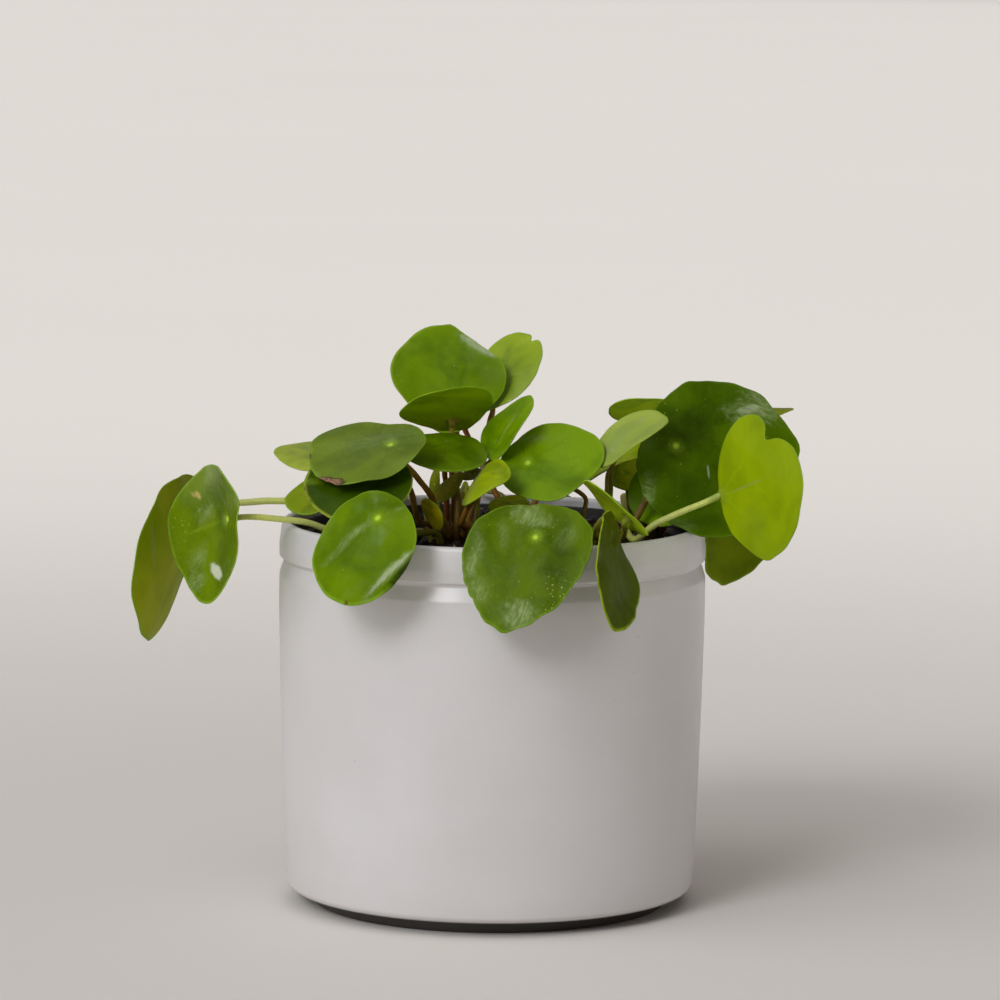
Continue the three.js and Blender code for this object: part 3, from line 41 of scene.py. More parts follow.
# ------------------------------------------------------------------ leaf table
# name, tint, stalk, [azimuth, elevation, spin], [length, width, offset], outline, cup, notch, stalk radius, path
LEAVES = [
    ["left_small_light", "BRIGHT", "PALE", [-23.62, 73.12, -104.26], [38.94, 0.941, 0.216], [-0.0047, 0.0049, 0.0003, 0.0013, 0.0039], [-0.0234, -0.0981, 0.2683], [0, 0, 1], 1.23, [[-48.44, 22.65, 147.6], [-49.54, 23.11, 149.42], [-50.66, 23.58, 151.25], [-51.79, 24.05, 153.09], [-52.92, 24.51, 154.93], [-54.05, 24.96, 156.78], [-55.16, 25.39, 158.63], [-56.25, 25.8, 160.49], [-57.31, 26.16, 162.35], [-58.33, 26.48, 164.2], [-59.3, 26.75, 166.06], [-60.21, 26.95, 167.92], [-61.06, 27.09, 169.77], [-61.83, 27.15, 171.62], [-62.51, 27.12, 173.47], [-63.1, 27.0, 175.31]]],
    ["left_low_light", "BRIGHT", "PALE", [-52.43, 55.39, -81.36], [32.85, 0.924, 0.221], [-0.0022, 0.0025, 0.0016, 0.0013, -0.001], [0.0255, -0.1371, 0.2189], [0, 0, 1], 1.19, [[-46.17, 14.48, 147.6], [-46.87, 13.54, 149.11], [-47.74, 12.35, 150.55], [-48.77, 10.94, 151.94], [-49.93, 9.35, 153.27], [-51.18, 7.63, 154.56], [-52.5, 5.82, 155.79], [-53.86, 3.96, 156.99], [-55.25, 2.08, 158.14], [-56.62, 0.23, 159.25], [-57.96, -1.56, 160.33], [-59.23, -3.23, 161.38], [-60.41, -4.75, 162.4], [-61.47, -6.08, 163.39], [-62.39, -7.18, 164.36], [-63.14, -8.0, 165.31]]],
    ["far_left_back", "OLIVE", "PALE", [259.88, 5.96, 56.91], [76.11, 0.816, 0.274], [-0.0064, -0.0341, 0.0138, 0.0115, 0.0212], [0.1825, 0.4252, 0.0894], [0, 0, 1], 1.43, [[-49.15, 19.17, 150.4], [-52.51, 18.96, 154.08], [-57.5, 19.69, 154.8], [-63.47, 20.81, 155.2], [-69.7, 21.76, 155.54], [-75.54, 22.0, 156.12], [-81.22, 22.0, 156.88], [-86.92, 22.0, 156.96], [-92.63, 22.0, 156.87], [-98.32, 22.0, 156.33], [-104.4, 21.77, 155.98], [-110.54, 21.17, 155.78], [-114.22, 21.52, 154.91], [-116.0, 25.98, 150.59], [-117.82, 31.14, 146.24], [-122.14, 33.0, 145.63]]],
    ["left_shaded", "DEEP", "RED", [-7.74, 56.25, -48.22], [42.11, 0.977, 0.236], [-0.0108, -0.0042, 0.0021, -0.0072, -0.0027], [0.0291, -0.0473, -0.1446], [0, 0, 1], 1.24, [[-22.9, -21.01, 150.4], [-24.51, -21.84, 153.43], [-26.11, -24.0, 154.5], [-27.71, -27.52, 155.05], [-29.03, -30.06, 155.94], [-30.04, -31.16, 158.51], [-30.94, -32.0, 162.14], [-31.41, -33.42, 165.27], [-32.24, -35.17, 168.3], [-33.34, -37.13, 170.78], [-34.84, -39.27, 172.08], [-37.01, -41.76, 172.82], [-39.47, -44.42, 173.36], [-41.76, -47.07, 173.99], [-43.44, -49.51, 174.99], [-44.33, -51.6, 177.35]]],
    ["far_left_front", "MID", "PALE", [-66.88, -0.34, -60.83], [54.96, 0.962, 0.233], [-0.0032, -0.0315, -0.0235, -0.0038, -0.034], [0.3455, 0.2368, -0.0212], [0, 0, 1], 1.31, [[-24.0, -17.96, 147.6], [-27.38, -18.43, 150.36], [-31.83, -19.29, 150.73], [-36.99, -20.45, 150.95], [-42.65, -21.82, 151.08], [-48.61, -23.33, 151.2], [-54.66, -24.87, 151.4], [-60.59, -26.38, 151.78], [-66.19, -27.75, 152.51], [-71.38, -29.1, 154.62], [-76.57, -30.07, 155.83], [-82.07, -30.42, 156.36], [-87.61, -30.72, 156.86], [-93.18, -30.97, 157.29], [-98.74, -30.98, 157.17], [-104.3, -30.84, 156.41]]],
    ["left_large", "MID", "PALE", [-23.39, 62.24, -60.68], [46.57, 0.935, 0.225], [-0.0351, -0.066, 0.0068, -0.0052, 0.0189], [0.002, -0.0739, -0.0707], [0, 0, 1], 1.27, [[-17.84, -24.79, 150.4], [-18.26, -26.89, 153.21], [-19.4, -27.12, 155.97], [-21.41, -27.31, 158.66], [-23.11, -27.95, 161.16], [-23.83, -28.65, 164.67], [-25.28, -30.25, 167.56], [-27.01, -31.88, 170.06], [-28.78, -33.65, 172.43], [-30.48, -35.35, 174.8], [-32.23, -37.02, 177.05], [-34.1, -38.79, 178.93], [-35.74, -40.7, 181.45], [-37.26, -42.33, 183.96], [-39.11, -44.99, 185.79], [-40.37, -47.0, 188.35]]],
    ["top_large", "BRIGHT", "RED", [1.21, 25.1, -161.57], [46.26, 0.931, 0.244], [0.0357, 0.0146, 0.0284, 0.0149, -0.0567], [-0.1857, 0.1471, 0.1155], [0, 0, 1], 1.27, [[-13.33, -9.45, 147.6], [-12.65, -6.82, 151.01], [-12.66, -4.0, 154.64], [-13.26, -0.98, 158.29], [-14.01, 2.32, 161.88], [-14.8, 5.87, 165.42], [-14.72, 9.83, 168.65], [-14.55, 13.68, 171.7], [-14.52, 17.31, 174.75], [-14.63, 20.64, 177.84], [-14.81, 23.54, 180.96], [-15.03, 25.92, 184.14], [-15.25, 27.66, 187.37], [-15.41, 28.66, 190.67], [-15.5, 28.81, 194.03], [-15.47, 28.0, 197.48]]],
    ["front_left", "BRIGHT", "PALE", [-28.51, 33.25, -16.64], [46.8, 0.932, 0.267], [0.0012, 0.0062, 0.0055, 0.0044, 0.0159], [-0.1075, -0.2456, 0.1417], [0, 0, 1], 1.27, [[-20.77, -23.43, 147.6], [-22.37, -25.56, 151.05], [-24.99, -28.55, 151.5], [-28.32, -32.14, 151.72], [-31.77, -36.11, 151.86], [-34.78, -40.2, 152.07], [-36.82, -44.23, 152.53], [-38.44, -48.35, 153.75], [-39.85, -52.62, 155.5], [-40.96, -56.99, 157.36], [-41.68, -61.41, 158.87], [-42.0, -65.96, 159.81], [-42.09, -70.69, 160.42], [-42.41, -75.46, 161.42], [-42.83, -79.98, 162.56], [-44.23, -84.0, 164.37]]],
    ["top_back_right", "OLIVE", "RED", [-52.34, 35.34, 153.81], [39.32, 0.94, 0.226], [-0.0017, -0.0075, -0.0004, -0.0071, -0.0051], [-0.1083, -0.0645, 0.0974], [0.12, 10.0, 5.0], 1.23, [[-8.72, -13.77, 147.6], [-6.82, -12.37, 152.26], [-8.06, -8.38, 156.02], [-6.83, -4.03, 159.17], [-5.91, 0.24, 162.51], [-5.26, 4.5, 165.93], [-4.7, 8.75, 169.4], [-4.2, 13.02, 172.89], [-3.74, 17.31, 176.35], [-3.27, 21.64, 179.77], [-2.77, 26.01, 183.11], [-2.18, 30.42, 186.36], [-1.46, 34.92, 189.46], [-0.49, 39.6, 192.32], [-1.11, 42.99, 196.72], [-3.12, 44.0, 201.63]]],
    ["mid_shadowed", "MID", "RED", [8.47, 74.8, -10.25], [35.91, 0.934, 0.248], [0.0021, -0.0006, 0.0023, -0.0035, -0.0015], [-0.0943, -0.1536, -0.0882], [0, 0, 1], 1.21, [[-19.61, -9.93, 147.6], [-20.96, -8.36, 150.42], [-19.65, -8.52, 152.37], [-18.43, -8.86, 154.38], [-18.34, -8.52, 157.24], [-18.43, -8.19, 160.43], [-18.45, -8.16, 163.24], [-18.39, -8.65, 165.96], [-18.68, -9.74, 168.7], [-19.23, -10.94, 171.6], [-19.29, -13.33, 174.0], [-19.05, -15.3, 176.25], [-18.94, -17.19, 178.63], [-18.88, -18.87, 181.14], [-18.84, -20.16, 183.8], [-18.72, -21.0, 186.69]]],
    ["mid_under", "OLIVE", "RED", [181.32, 53.58, 168.02], [38.87, 0.928, 0.33], [0.0078, -0.0355, -0.0152, 0.0418, -0.0153], [-0.1595, -0.1328, 0.3163], [0, 0, 1], 1.23, [[-16.52, -9.06, 150.4], [-16.37, -6.56, 152.77], [-16.12, -5.97, 155.7], [-15.78, -5.56, 158.98], [-15.62, -5.32, 162.62], [-16.05, -5.68, 166.41], [-16.5, -6.1, 170.16], [-16.65, -6.26, 173.92], [-16.74, -6.34, 177.53], [-16.78, -6.36, 180.87], [-16.81, -6.33, 183.85], [-16.82, -6.26, 186.34], [-16.83, -6.13, 188.23], [-16.82, -5.73, 189.4], [-16.7, -2.32, 190.06], [-16.73, -1.0, 192.81]]],
    ["centre_right", "BRIGHT", "RED", [-17.04, 45.49, 96.48], [41.5, 0.957, 0.228], [0.014, 0.0002, 0.0084, 0.0137, 0.018], [0.0271, -0.0137, -0.1013], [0, 0, 1], 1.24, [[35.97, -24.33, 147.6], [34.15, -25.19, 150.2], [34.19, -25.24, 153.11], [34.86, -25.17, 156.37], [35.7, -25.08, 159.68], [36.37, -25.02, 162.75], [36.39, -25.03, 165.3], [34.18, -25.41, 167.45], [31.17, -25.96, 169.3], [28.45, -26.46, 170.82], [25.39, -26.99, 172.09], [22.24, -27.56, 173.24], [19.23, -28.23, 174.41], [16.62, -29.0, 175.76], [14.64, -29.92, 177.42], [13.42, -31.38, 179.88]]],
    ["front_large", "MID", "PALE", [-15.14, 37.12, -15.58], [53.13, 0.929, 0.186], [-0.0323, 0.0441, 0.0331, -0.0041, -0.004], [-0.2743, 0.0624, -0.0755], [0, 0, 1], 1.3, [[38.1, -27.14, 150.4], [36.75, -29.22, 154.08], [35.28, -32.15, 156.83], [33.71, -35.81, 158.76], [32.08, -40.09, 159.99], [30.39, -44.84, 160.61], [28.68, -49.96, 160.76], [26.98, -55.32, 160.52], [25.29, -60.8, 160.03], [23.66, -66.26, 159.39], [22.1, -71.6, 158.71], [20.63, -76.68, 158.11], [19.29, -81.38, 157.69], [18.09, -85.59, 157.56], [17.06, -89.17, 157.85], [16.22, -92.0, 158.65]]],
    ["mid_folded", "BRIGHT", "RED", [-63.83, 31.6, 173.46], [30.22, 0.952, 0.245], [0.003, 0.0262, -0.0167, -0.009, 0.0336], [-0.1787, 0.0901, -0.1584], [0, 0, 1], 1.18, [[-9.41, -21.36, 147.6], [-7.47, -21.9, 150.54], [-8.24, -23.0, 153.02], [-10.09, -24.11, 155.17], [-9.83, -24.14, 157.43], [-8.94, -23.76, 160.09], [-7.86, -23.11, 162.98], [-6.98, -22.44, 165.78], [-6.15, -21.53, 168.61], [-5.29, -20.65, 171.44], [-4.3, -20.07, 174.2], [-2.96, -20.06, 176.83], [-0.86, -20.51, 179.32], [1.16, -21.19, 181.77], [2.09, -21.93, 184.3], [0.96, -22.75, 187.0]]],
    ["centre_lime", "LIME", "RED", [319.94, 56.2, -59.59], [23.54, 1.013, 0.275], [0.0031, -0.0222, 0.011, 0.0109, -0.0552], [-0.7262, -0.1866, 0.2883], [0, 0, 1], 1.19, [[-11.66, -23.62, 150.4], [-10.69, -25.43, 152.35], [-10.93, -27.27, 153.73], [-12.23, -29.83, 154.55], [-12.54, -31.9, 155.71], [-11.91, -33.5, 157.85], [-10.93, -34.97, 160.38], [-9.93, -36.55, 162.58], [-8.77, -38.26, 164.52], [-7.43, -39.92, 166.39], [-5.93, -41.34, 168.24], [-3.78, -42.47, 170.01], [-1.37, -43.47, 171.75], [0.57, -44.5, 173.57], [1.3, -45.71, 175.56], [1.15, -47.26, 177.92]]],
    ["right_narrow", "LIME", "PALE", [110.68, 46.02, 167.73], [32.66, 0.944, 0.196], [0.0016, -0.0007, 0.0098, 0.005, 0.0008], [-0.0452, -0.2113, -0.0154], [0, 0, 1], 1.19, [[44.82, -28.5, 150.4], [45.07, -29.69, 153.03], [45.52, -31.2, 153.71], [46.4, -33.15, 153.19], [47.56, -35.41, 152.36], [48.74, -37.74, 151.58], [49.67, -39.93, 151.17], [50.37, -41.9, 151.68], [50.99, -43.81, 153.02], [51.29, -45.78, 154.53], [51.41, -47.8, 155.88], [51.37, -50.03, 156.9], [51.16, -52.55, 157.87], [50.92, -54.82, 158.85], [51.0, -56.26, 160.05], [52.8, -57.0, 162.0]]],
    ["right_back_top", "MID", "RED", [178.85, 62.7, 120.58], [32.96, 0.946, 0.212], [0.0028, 0.0008, 0.0016, 0.0012, -0.0003], [-0.1065, -0.1577, -0.0274], [0, 0, 1], 1.19, [[68.12, 20.76, 147.6], [69.51, 20.22, 150.33], [70.53, 19.89, 153.2], [71.22, 19.77, 156.19], [71.64, 19.86, 159.27], [71.82, 20.15, 162.41], [71.81, 20.65, 165.6], [71.67, 21.37, 168.8], [71.43, 22.32, 171.99], [71.17, 23.43, 175.25], [70.56, 23.5, 178.84], [69.85, 23.55, 182.13], [69.21, 23.77, 185.33], [68.69, 24.11, 188.44], [68.3, 24.54, 191.42], [68.09, 25.0, 194.25]]],
    ["right_light", "OLIVE", "RED", [-63.37, 47.72, 162.14], [33.89, 0.95, 0.248], [0.0033, -0.0285, 0.0065, -0.0194, -0.0161], [-0.1828, 0.3057, -0.0498], [0, 0, 1], 1.2, [[47.94, -26.94, 147.6], [49.2, -28.47, 150.13], [49.15, -28.47, 152.76], [48.42, -27.77, 155.46], [47.35, -26.69, 158.2], [46.19, -25.45, 160.99], [45.2, -24.23, 163.82], [44.66, -23.24, 166.69], [44.64, -22.51, 169.7], [44.75, -22.01, 172.69], [45.08, -22.75, 174.98], [45.82, -25.04, 176.91], [46.7, -28.03, 178.69], [47.44, -30.88, 180.55], [47.75, -32.72, 182.7], [46.66, -33.5, 185.41]]],
    ["front_narrow", "DEEP", "PALE", [76.12, 10.59, -10.22], [45.82, 0.888, 0.265], [0.0006, 0.0035, -0.0388, 0.018, -0.0365], [0.0174, -0.083, 0.3276], [0, 0, 1], 1.26, [[41.31, -28.62, 147.6], [40.76, -31.16, 151.12], [39.95, -35.17, 151.92], [39.11, -40.07, 152.37], [38.72, -44.89, 152.98], [38.87, -49.29, 154.13], [39.26, -53.64, 155.65], [39.79, -57.96, 157.33], [40.33, -62.28, 158.91], [41.06, -66.63, 160.72], [41.94, -70.97, 162.58], [42.67, -75.25, 163.79], [43.0, -79.47, 163.27], [43.13, -83.68, 160.34], [43.35, -87.63, 157.77], [45.54, -91.0, 158.16]]],
    ["right_dark", "DEEP", "PALE", [10.47, 19.8, 72.27], [64.42, 0.997, 0.268], [0.0149, 0.0097, -0.0021, -0.0168, 0.0095], [-0.0328, -0.1431, 0.0036], [0, 0, 1], 1.37, [[50.92, -20.73, 147.6], [52.56, -20.63, 150.2], [54.18, -20.45, 152.89], [55.78, -20.24, 155.65], [57.36, -20.0, 158.45], [58.91, -19.79, 161.29], [60.43, -19.62, 164.13], [61.9, -19.52, 166.96], [63.34, -19.53, 169.75], [64.72, -19.67, 172.48], [66.06, -19.98, 175.14], [67.33, -20.48, 177.68], [68.55, -21.2, 180.11], [69.69, -22.18, 182.39], [70.77, -23.43, 184.5], [71.77, -25.0, 186.43]]],
    ["right_tip", "MID", "PALE", [3.56, 85.88, 89.75], [33.59, 0.949, 0.231], [0.0008, 0.0001, 0.0007, 0.0003, 0.0003], [0.0752, -0.1497, -0.0955], [0, 0, 1], 1.2, [[65.78, 18.2, 150.4], [67.15, 16.82, 153.43], [68.86, 15.93, 156.4], [70.86, 15.49, 159.34], [73.11, 15.43, 162.23], [75.56, 15.69, 165.08], [78.17, 16.23, 167.9], [80.5, 16.83, 170.9], [82.88, 17.58, 173.88], [85.24, 18.43, 176.86], [87.52, 19.3, 179.84], [89.67, 20.15, 182.84], [91.63, 20.9, 185.86], [93.33, 21.5, 188.92], [94.73, 21.89, 192.02], [95.76, 22.0, 195.18]]],
    ["right_olive", "OLIVE", "PALE", [43.35, 4.06, -6.84], [40.27, 0.955, 0.199], [-0.002, -0.0013, -0.0066, 0.0013, -0.0059], [-0.3811, 0.1754, -0.0439], [0, 0, 1], 1.23, [[68.97, 24.14, 150.4], [70.1, 24.28, 153.16], [71.58, 24.65, 155.39], [73.36, 25.2, 156.23], [75.39, 25.89, 156.69], [77.61, 26.68, 156.82], [79.99, 27.55, 156.68], [82.45, 28.44, 156.32], [84.95, 29.33, 155.82], [87.45, 30.16, 155.05], [89.89, 30.91, 154.25], [92.21, 31.53, 153.47], [94.37, 31.99, 152.77], [96.31, 32.25, 152.2], [97.99, 32.26, 151.83], [99.35, 32.0, 151.72]]],
    ["right_under", "DEEP", "RED", [-1.41, 41.32, -21.8], [32.54, 0.909, 0.21], [0.0002, 0.0071, -0.0052, 0.0027, -0.006], [-0.1008, -0.1005, 0.132], [0, 0, 1], 1.19, [[49.38, -16.66, 150.4], [50.39, -15.43, 151.38], [51.64, -13.92, 152.3], [53.11, -12.15, 153.13], [54.75, -10.13, 153.84], [56.5, -8.94, 155.34], [58.34, -7.95, 157.0], [60.24, -7.0, 158.66], [62.17, -6.08, 160.23], [64.08, -5.19, 161.67], [65.96, -4.42, 162.99], [67.73, -3.78, 164.23], [69.21, -2.89, 165.79], [70.0, -2.24, 167.5], [70.59, -1.93, 169.14], [70.92, -2.0, 170.72]]],
    ["centre_olive_small", "OLIVE", "PALE", [-55.02, -20.94, 16.94], [13.87, 0.941, 0.241], [0.001, 0.0, -0.0046, 0.0019, 0.0014], [-0.0407, -0.3236, 0.0605], [0, 0, 1], 1.09, [[-23.48, -14.8, 147.6], [-25.31, -14.32, 150.25], [-26.05, -13.29, 153.2], [-26.57, -11.31, 156.7], [-26.94, -9.26, 159.83], [-27.12, -8.06, 161.63], [-27.11, -8.41, 161.87], [-26.94, -10.07, 161.96], [-26.7, -12.77, 161.98], [-26.54, -16.24, 161.9], [-26.66, -20.22, 161.66], [-26.26, -24.41, 161.86], [-26.0, -28.62, 161.97], [-25.12, -32.38, 162.2], [-24.41, -35.48, 162.46], [-25.69, -38.0, 162.75]]],
    ["right_spot_lime", "LIME", "PALE", [8.19, 53.78, 76.19], [30.75, 0.947, 0.248], [-0.002, 0.0041, 0.002, -0.0031, -0.0038], [-0.0134, 0.552, -0.2899], [0, 0, 1], 1.18, [[57.79, 18.52, 147.6], [57.35, 17.97, 148.82], [56.91, 17.46, 150.2], [56.48, 17.0, 151.73], [56.06, 16.57, 153.37], [55.66, 16.16, 155.1], [55.27, 15.78, 156.88], [54.9, 15.42, 158.69], [54.56, 15.07, 160.5], [54.24, 14.72, 162.27], [53.96, 14.38, 163.99], [53.72, 14.04, 165.62], [53.51, 13.68, 167.12], [53.35, 13.31, 168.48], [53.23, 12.92, 169.67], [53.17, 12.5, 170.65]]],
    ["right_edge_on", "LIME", "PALE", [-78.4, 58.25, 163.09], [31.45, 0.954, 0.192], [0.0026, -0.0009, -0.0017, 0.0002, 0.0009], [-0.3054, 0.2992, -0.0398], [0, 0, 1], 1.19, [[43.87, -13.34, 147.6], [44.05, -12.08, 149.48], [44.3, -10.74, 151.34], [44.61, -9.34, 153.18], [44.95, -7.89, 155.0], [45.31, -6.42, 156.81], [45.67, -4.96, 158.62], [46.0, -3.52, 160.42], [46.3, -2.14, 162.22], [46.53, -0.82, 164.02], [46.68, 0.4, 165.83], [46.72, 1.5, 167.66], [46.75, 2.63, 169.44], [46.65, 3.6, 171.22], [46.39, 4.4, 173.02], [45.96, 5.0, 174.84]]],
    ["centre_small_right", "DEEP", "PALE", [-7.51, 52.69, -66.51], [16.59, 0.945, 0.232], [-0.0031, -0.003, -0.003, -0.0027, -0.0005], [0.128, -0.3068, -0.0033], [0, 0, 1], 1.12, [[36.05, -17.84, 150.4], [35.05, -17.33, 151.65], [33.73, -16.6, 152.68], [32.12, -15.7, 153.52], [30.29, -14.67, 154.21], [28.29, -13.53, 154.75], [26.17, -12.33, 155.19], [23.97, -11.11, 155.54], [21.77, -9.89, 155.82], [19.59, -8.72, 156.07], [17.51, -7.62, 156.31], [15.57, -6.64, 156.54], [13.79, -6.02, 157.1], [12.23, -5.76, 157.95], [10.97, -5.74, 158.89], [10.05, -6.0, 159.97]]],
    ["centre_dark_small", "DEEP", "PALE", [-64.67, 44.3, -31.59], [16.91, 0.95, 0.234], [0.0009, -0.0038, -0.0124, 0.0017, -0.0021], [-0.0343, -0.2852, -0.0292], [0, 0, 1], 1.12, [[-14.64, -24.72, 147.6], [-14.49, -25.5, 148.76], [-14.42, -26.03, 150.12], [-14.58, -26.22, 151.7], [-14.48, -26.02, 153.4], [-14.31, -25.72, 155.18], [-14.21, -25.32, 157.02], [-14.14, -24.85, 158.89], [-14.11, -24.34, 160.76], [-14.13, -23.81, 162.59], [-14.18, -23.29, 164.37], [-14.29, -22.82, 166.05], [-14.45, -22.43, 167.6], [-14.66, -22.14, 168.99], [-14.94, -21.99, 170.2], [-15.28, -22.0, 171.18]]],
    ["right_lime", "LIME", "PALE", [128.26, 2.84, -102.07], [58.24, 0.942, 0.466], [0.031, 0.0514, 0.0126, 0.0218, -0.0188], [-0.1309, 0.0816, -0.175], [0.085, 294.0, 9.0], 1.33, [[50.19, -24.23, 150.4], [51.92, -25.11, 152.89], [53.17, -28.16, 151.93], [54.34, -32.09, 150.56], [55.94, -34.38, 150.23], [58.34, -35.48, 152.02], [61.21, -36.32, 154.84], [64.1, -37.21, 157.13], [67.03, -38.2, 158.86], [70.07, -39.17, 160.46], [73.16, -40.01, 161.99], [76.31, -40.84, 163.46], [79.51, -41.61, 164.86], [82.72, -41.99, 166.28], [85.93, -42.0, 167.76], [89.16, -42.0, 169.28]]],
    ["centre_back_small", "OLIVE", "PALE", [-66.11, 3.49, -130.13], [12.7, 0.937, 0.26], [0.0011, -0.0019, -0.0003, 0.0003, -0.0003], [-0.3912, 0.0041, -0.0018], [0, 0, 1], 1.08, [[-21.99, -12.03, 150.4], [-22.48, -11.57, 151.51], [-22.79, -10.89, 152.71], [-22.86, -9.95, 153.95], [-22.66, -8.78, 155.16], [-22.38, -7.52, 156.41], [-22.02, -6.18, 157.68], [-21.61, -4.8, 158.94], [-21.16, -3.41, 160.18], [-20.69, -2.03, 161.38], [-20.21, -0.71, 162.52], [-19.71, 0.55, 163.57], [-20.38, 1.19, 164.59], [-21.13, 1.68, 165.5], [-21.99, 1.96, 166.26], [-23.03, 2.0, 166.87]]],
    ["centre_pale_small", "LIME", "PALE", [-67.88, 8.44, -150.53], [7.86, 0.944, 0.24], [0.0008, -0.0008, 0.0003, -0.0003, -0.0002], [-0.1106, -0.1279, 0.0334], [0, 0, 1], 1.03, [[-10.75, -11.32, 150.4], [-10.34, -10.51, 151.05], [-10.0, -9.42, 151.67], [-9.66, -8.1, 152.32], [-9.34, -6.66, 153.03], [-9.07, -5.27, 154.1], [-8.86, -3.86, 155.18], [-8.68, -2.37, 156.19], [-8.55, -0.84, 157.13], [-8.46, 0.68, 158.0], [-8.41, 2.16, 158.8], [-8.37, 3.55, 159.52], [-9.12, 4.49, 160.29], [-9.91, 5.25, 160.99], [-10.76, 5.77, 161.62], [-11.69, 6.0, 162.18]]],
    ["centre_grey_small", "OLIVE", "PALE", [178.21, 63.11, -10.8], [14.85, 0.948, 0.257], [0.0041, -0.0021, -0.001, 0.0001, -0.0002], [0.1906, -0.4005, -0.0874], [0, 0, 1], 1.1, [[-8.19, -16.91, 150.4], [-7.53, -16.81, 151.62], [-7.03, -16.56, 153.01], [-6.66, -16.16, 154.52], [-6.41, -15.65, 156.14], [-6.26, -15.03, 157.85], [-6.2, -14.34, 159.6], [-6.21, -13.59, 161.38], [-6.28, -12.8, 163.15], [-6.38, -12.0, 164.9], [-6.51, -11.2, 166.59], [-6.64, -10.43, 168.19], [-6.77, -9.7, 169.69], [-6.87, -9.04, 171.04], [-6.92, -8.47, 172.24], [-6.93, -8.0, 173.23]]],
    ["back_right_high", "MID", "PALE", [155, 45, 0], [38, 0.975, 0.231], [0.0003, -0.0139, -0.0118, 0.0, -0.0], [-0.3404, -0.0686, 0.048], [0, 0, 1], 1.22, [[65.55, 29.98, 150.4], [66.34, 31.17, 152.84], [67.19, 32.34, 155.28], [68.08, 33.51, 157.72], [69.02, 34.65, 160.16], [69.98, 35.76, 162.61], [70.96, 36.83, 165.07], [72.03, 38.0, 167.54], [73.11, 39.57, 169.51], [74.19, 41.09, 171.49], [75.25, 42.59, 173.48], [76.28, 44.07, 175.45], [77.28, 45.54, 177.39], [78.24, 47.02, 179.31], [79.15, 48.5, 181.18], [80.0, 50.0, 183.0]]],
    ["back_right_mid", "DEEP", "PALE", [130, 22, 10], [36, 0.941, 0.237], [0.0051, -0.0239, -0.0036, -0.0116, 0.0044], [-0.1901, -0.128, -0.1221], [0, 0, 1], 1.21, [[68.0, 27.49, 147.6], [69.64, 28.34, 153.67], [71.44, 29.78, 155.49], [73.42, 31.73, 156.08], [75.56, 34.08, 156.24], [77.87, 36.72, 156.0], [80.36, 39.54, 155.42], [82.47, 43.21, 154.59], [83.7, 47.08, 154.04], [85.05, 50.88, 153.35], [86.47, 54.53, 152.6], [87.9, 57.97, 151.88], [89.31, 61.12, 151.27], [90.66, 63.89, 150.86], [91.9, 66.21, 150.74], [93.0, 68.0, 151.0]]],
    ["back_right_low", "BRIGHT", "PALE", [150, 26, -5], [46, 0.975, 0.243], [-0.0039, 0.0104, -0.0007, -0.0116, -0.0032], [-0.3831, -0.066, -0.0333], [0, 0, 1], 1.27, [[56.16, 27.88, 147.6], [54.57, 29.73, 151.75], [53.51, 32.7, 154.58], [52.93, 36.63, 156.26], [52.77, 41.36, 157.01], [52.99, 46.75, 157.02], [53.52, 52.63, 156.51], [54.32, 58.84, 155.7], [55.34, 65.24, 154.39], [56.51, 71.66, 150.72], [57.8, 77.96, 147.3], [59.14, 83.96, 144.24], [60.48, 89.52, 141.65], [61.77, 94.49, 139.65], [62.96, 98.7, 138.39], [64.0, 102.0, 138.0]]],
    ["back_right_inner", "MID", "PALE", [158, 34, 0], [30, 0.939, 0.261], [-0.0165, -0.012, -0.031, -0.0053, -0.0096], [-0.083, -0.0087, -0.0264], [0, 0, 1], 1.18, [[58.83, 30.13, 150.4], [58.3, 32.02, 153.67], [58.27, 34.58, 156.23], [58.66, 37.71, 158.17], [59.42, 41.31, 159.56], [60.49, 45.28, 160.49], [61.81, 49.53, 161.03], [63.32, 53.96, 161.27], [64.96, 58.47, 161.28], [66.67, 62.96, 161.16], [68.38, 67.33, 160.98], [70.05, 71.48, 160.81], [71.6, 75.33, 160.75], [72.98, 78.76, 160.88], [74.14, 81.68, 161.27], [75.0, 84.0, 162.0]]],
    ["back_centre_low", "DEEP", "PALE", [180, 28, 5], [52, 0.963, 0.236], [0.0057, -0.0313, -0.0256, -0.0144, 0.0031], [-0.0202, -0.1284, -0.042], [0, 0, 1], 1.3, [[11.04, 44.97, 150.4], [11.4, 47.27, 154.09], [11.87, 50.31, 156.55], [12.44, 53.97, 157.97], [13.1, 58.15, 158.53], [13.81, 62.74, 158.41], [14.57, 67.64, 157.82], [15.35, 72.73, 156.95], [16.13, 77.92, 156.03], [16.89, 83.1, 155.28], [17.62, 88.17, 153.84], [18.29, 93.0, 149.62], [18.88, 97.51, 146.07], [19.37, 101.59, 143.24], [19.76, 105.12, 141.19], [20.0, 108.0, 140.0]]],
    ["back_left_low", "MID", "PALE", [204, 26, -5], [46, 0.979, 0.245], [0.001, -0.0162, -0.002, -0.0025, -0.0115], [-0.1599, -0.1576, 0.0954], [0, 0, 1], 1.27, [[-39.66, 26.6, 150.4], [-39.03, 29.3, 154.53], [-38.56, 32.9, 157.27], [-38.25, 37.28, 158.82], [-38.08, 42.32, 159.39], [-38.06, 47.89, 159.19], [-38.18, 53.87, 158.43], [-38.42, 60.13, 157.36], [-38.8, 66.56, 156.2], [-39.3, 73.04, 155.23], [-39.92, 79.45, 153.57], [-40.17, 84.72, 148.83], [-40.53, 89.67, 144.84], [-40.97, 94.13, 141.64], [-41.46, 97.96, 139.33], [-42.0, 101.0, 138.0]]],
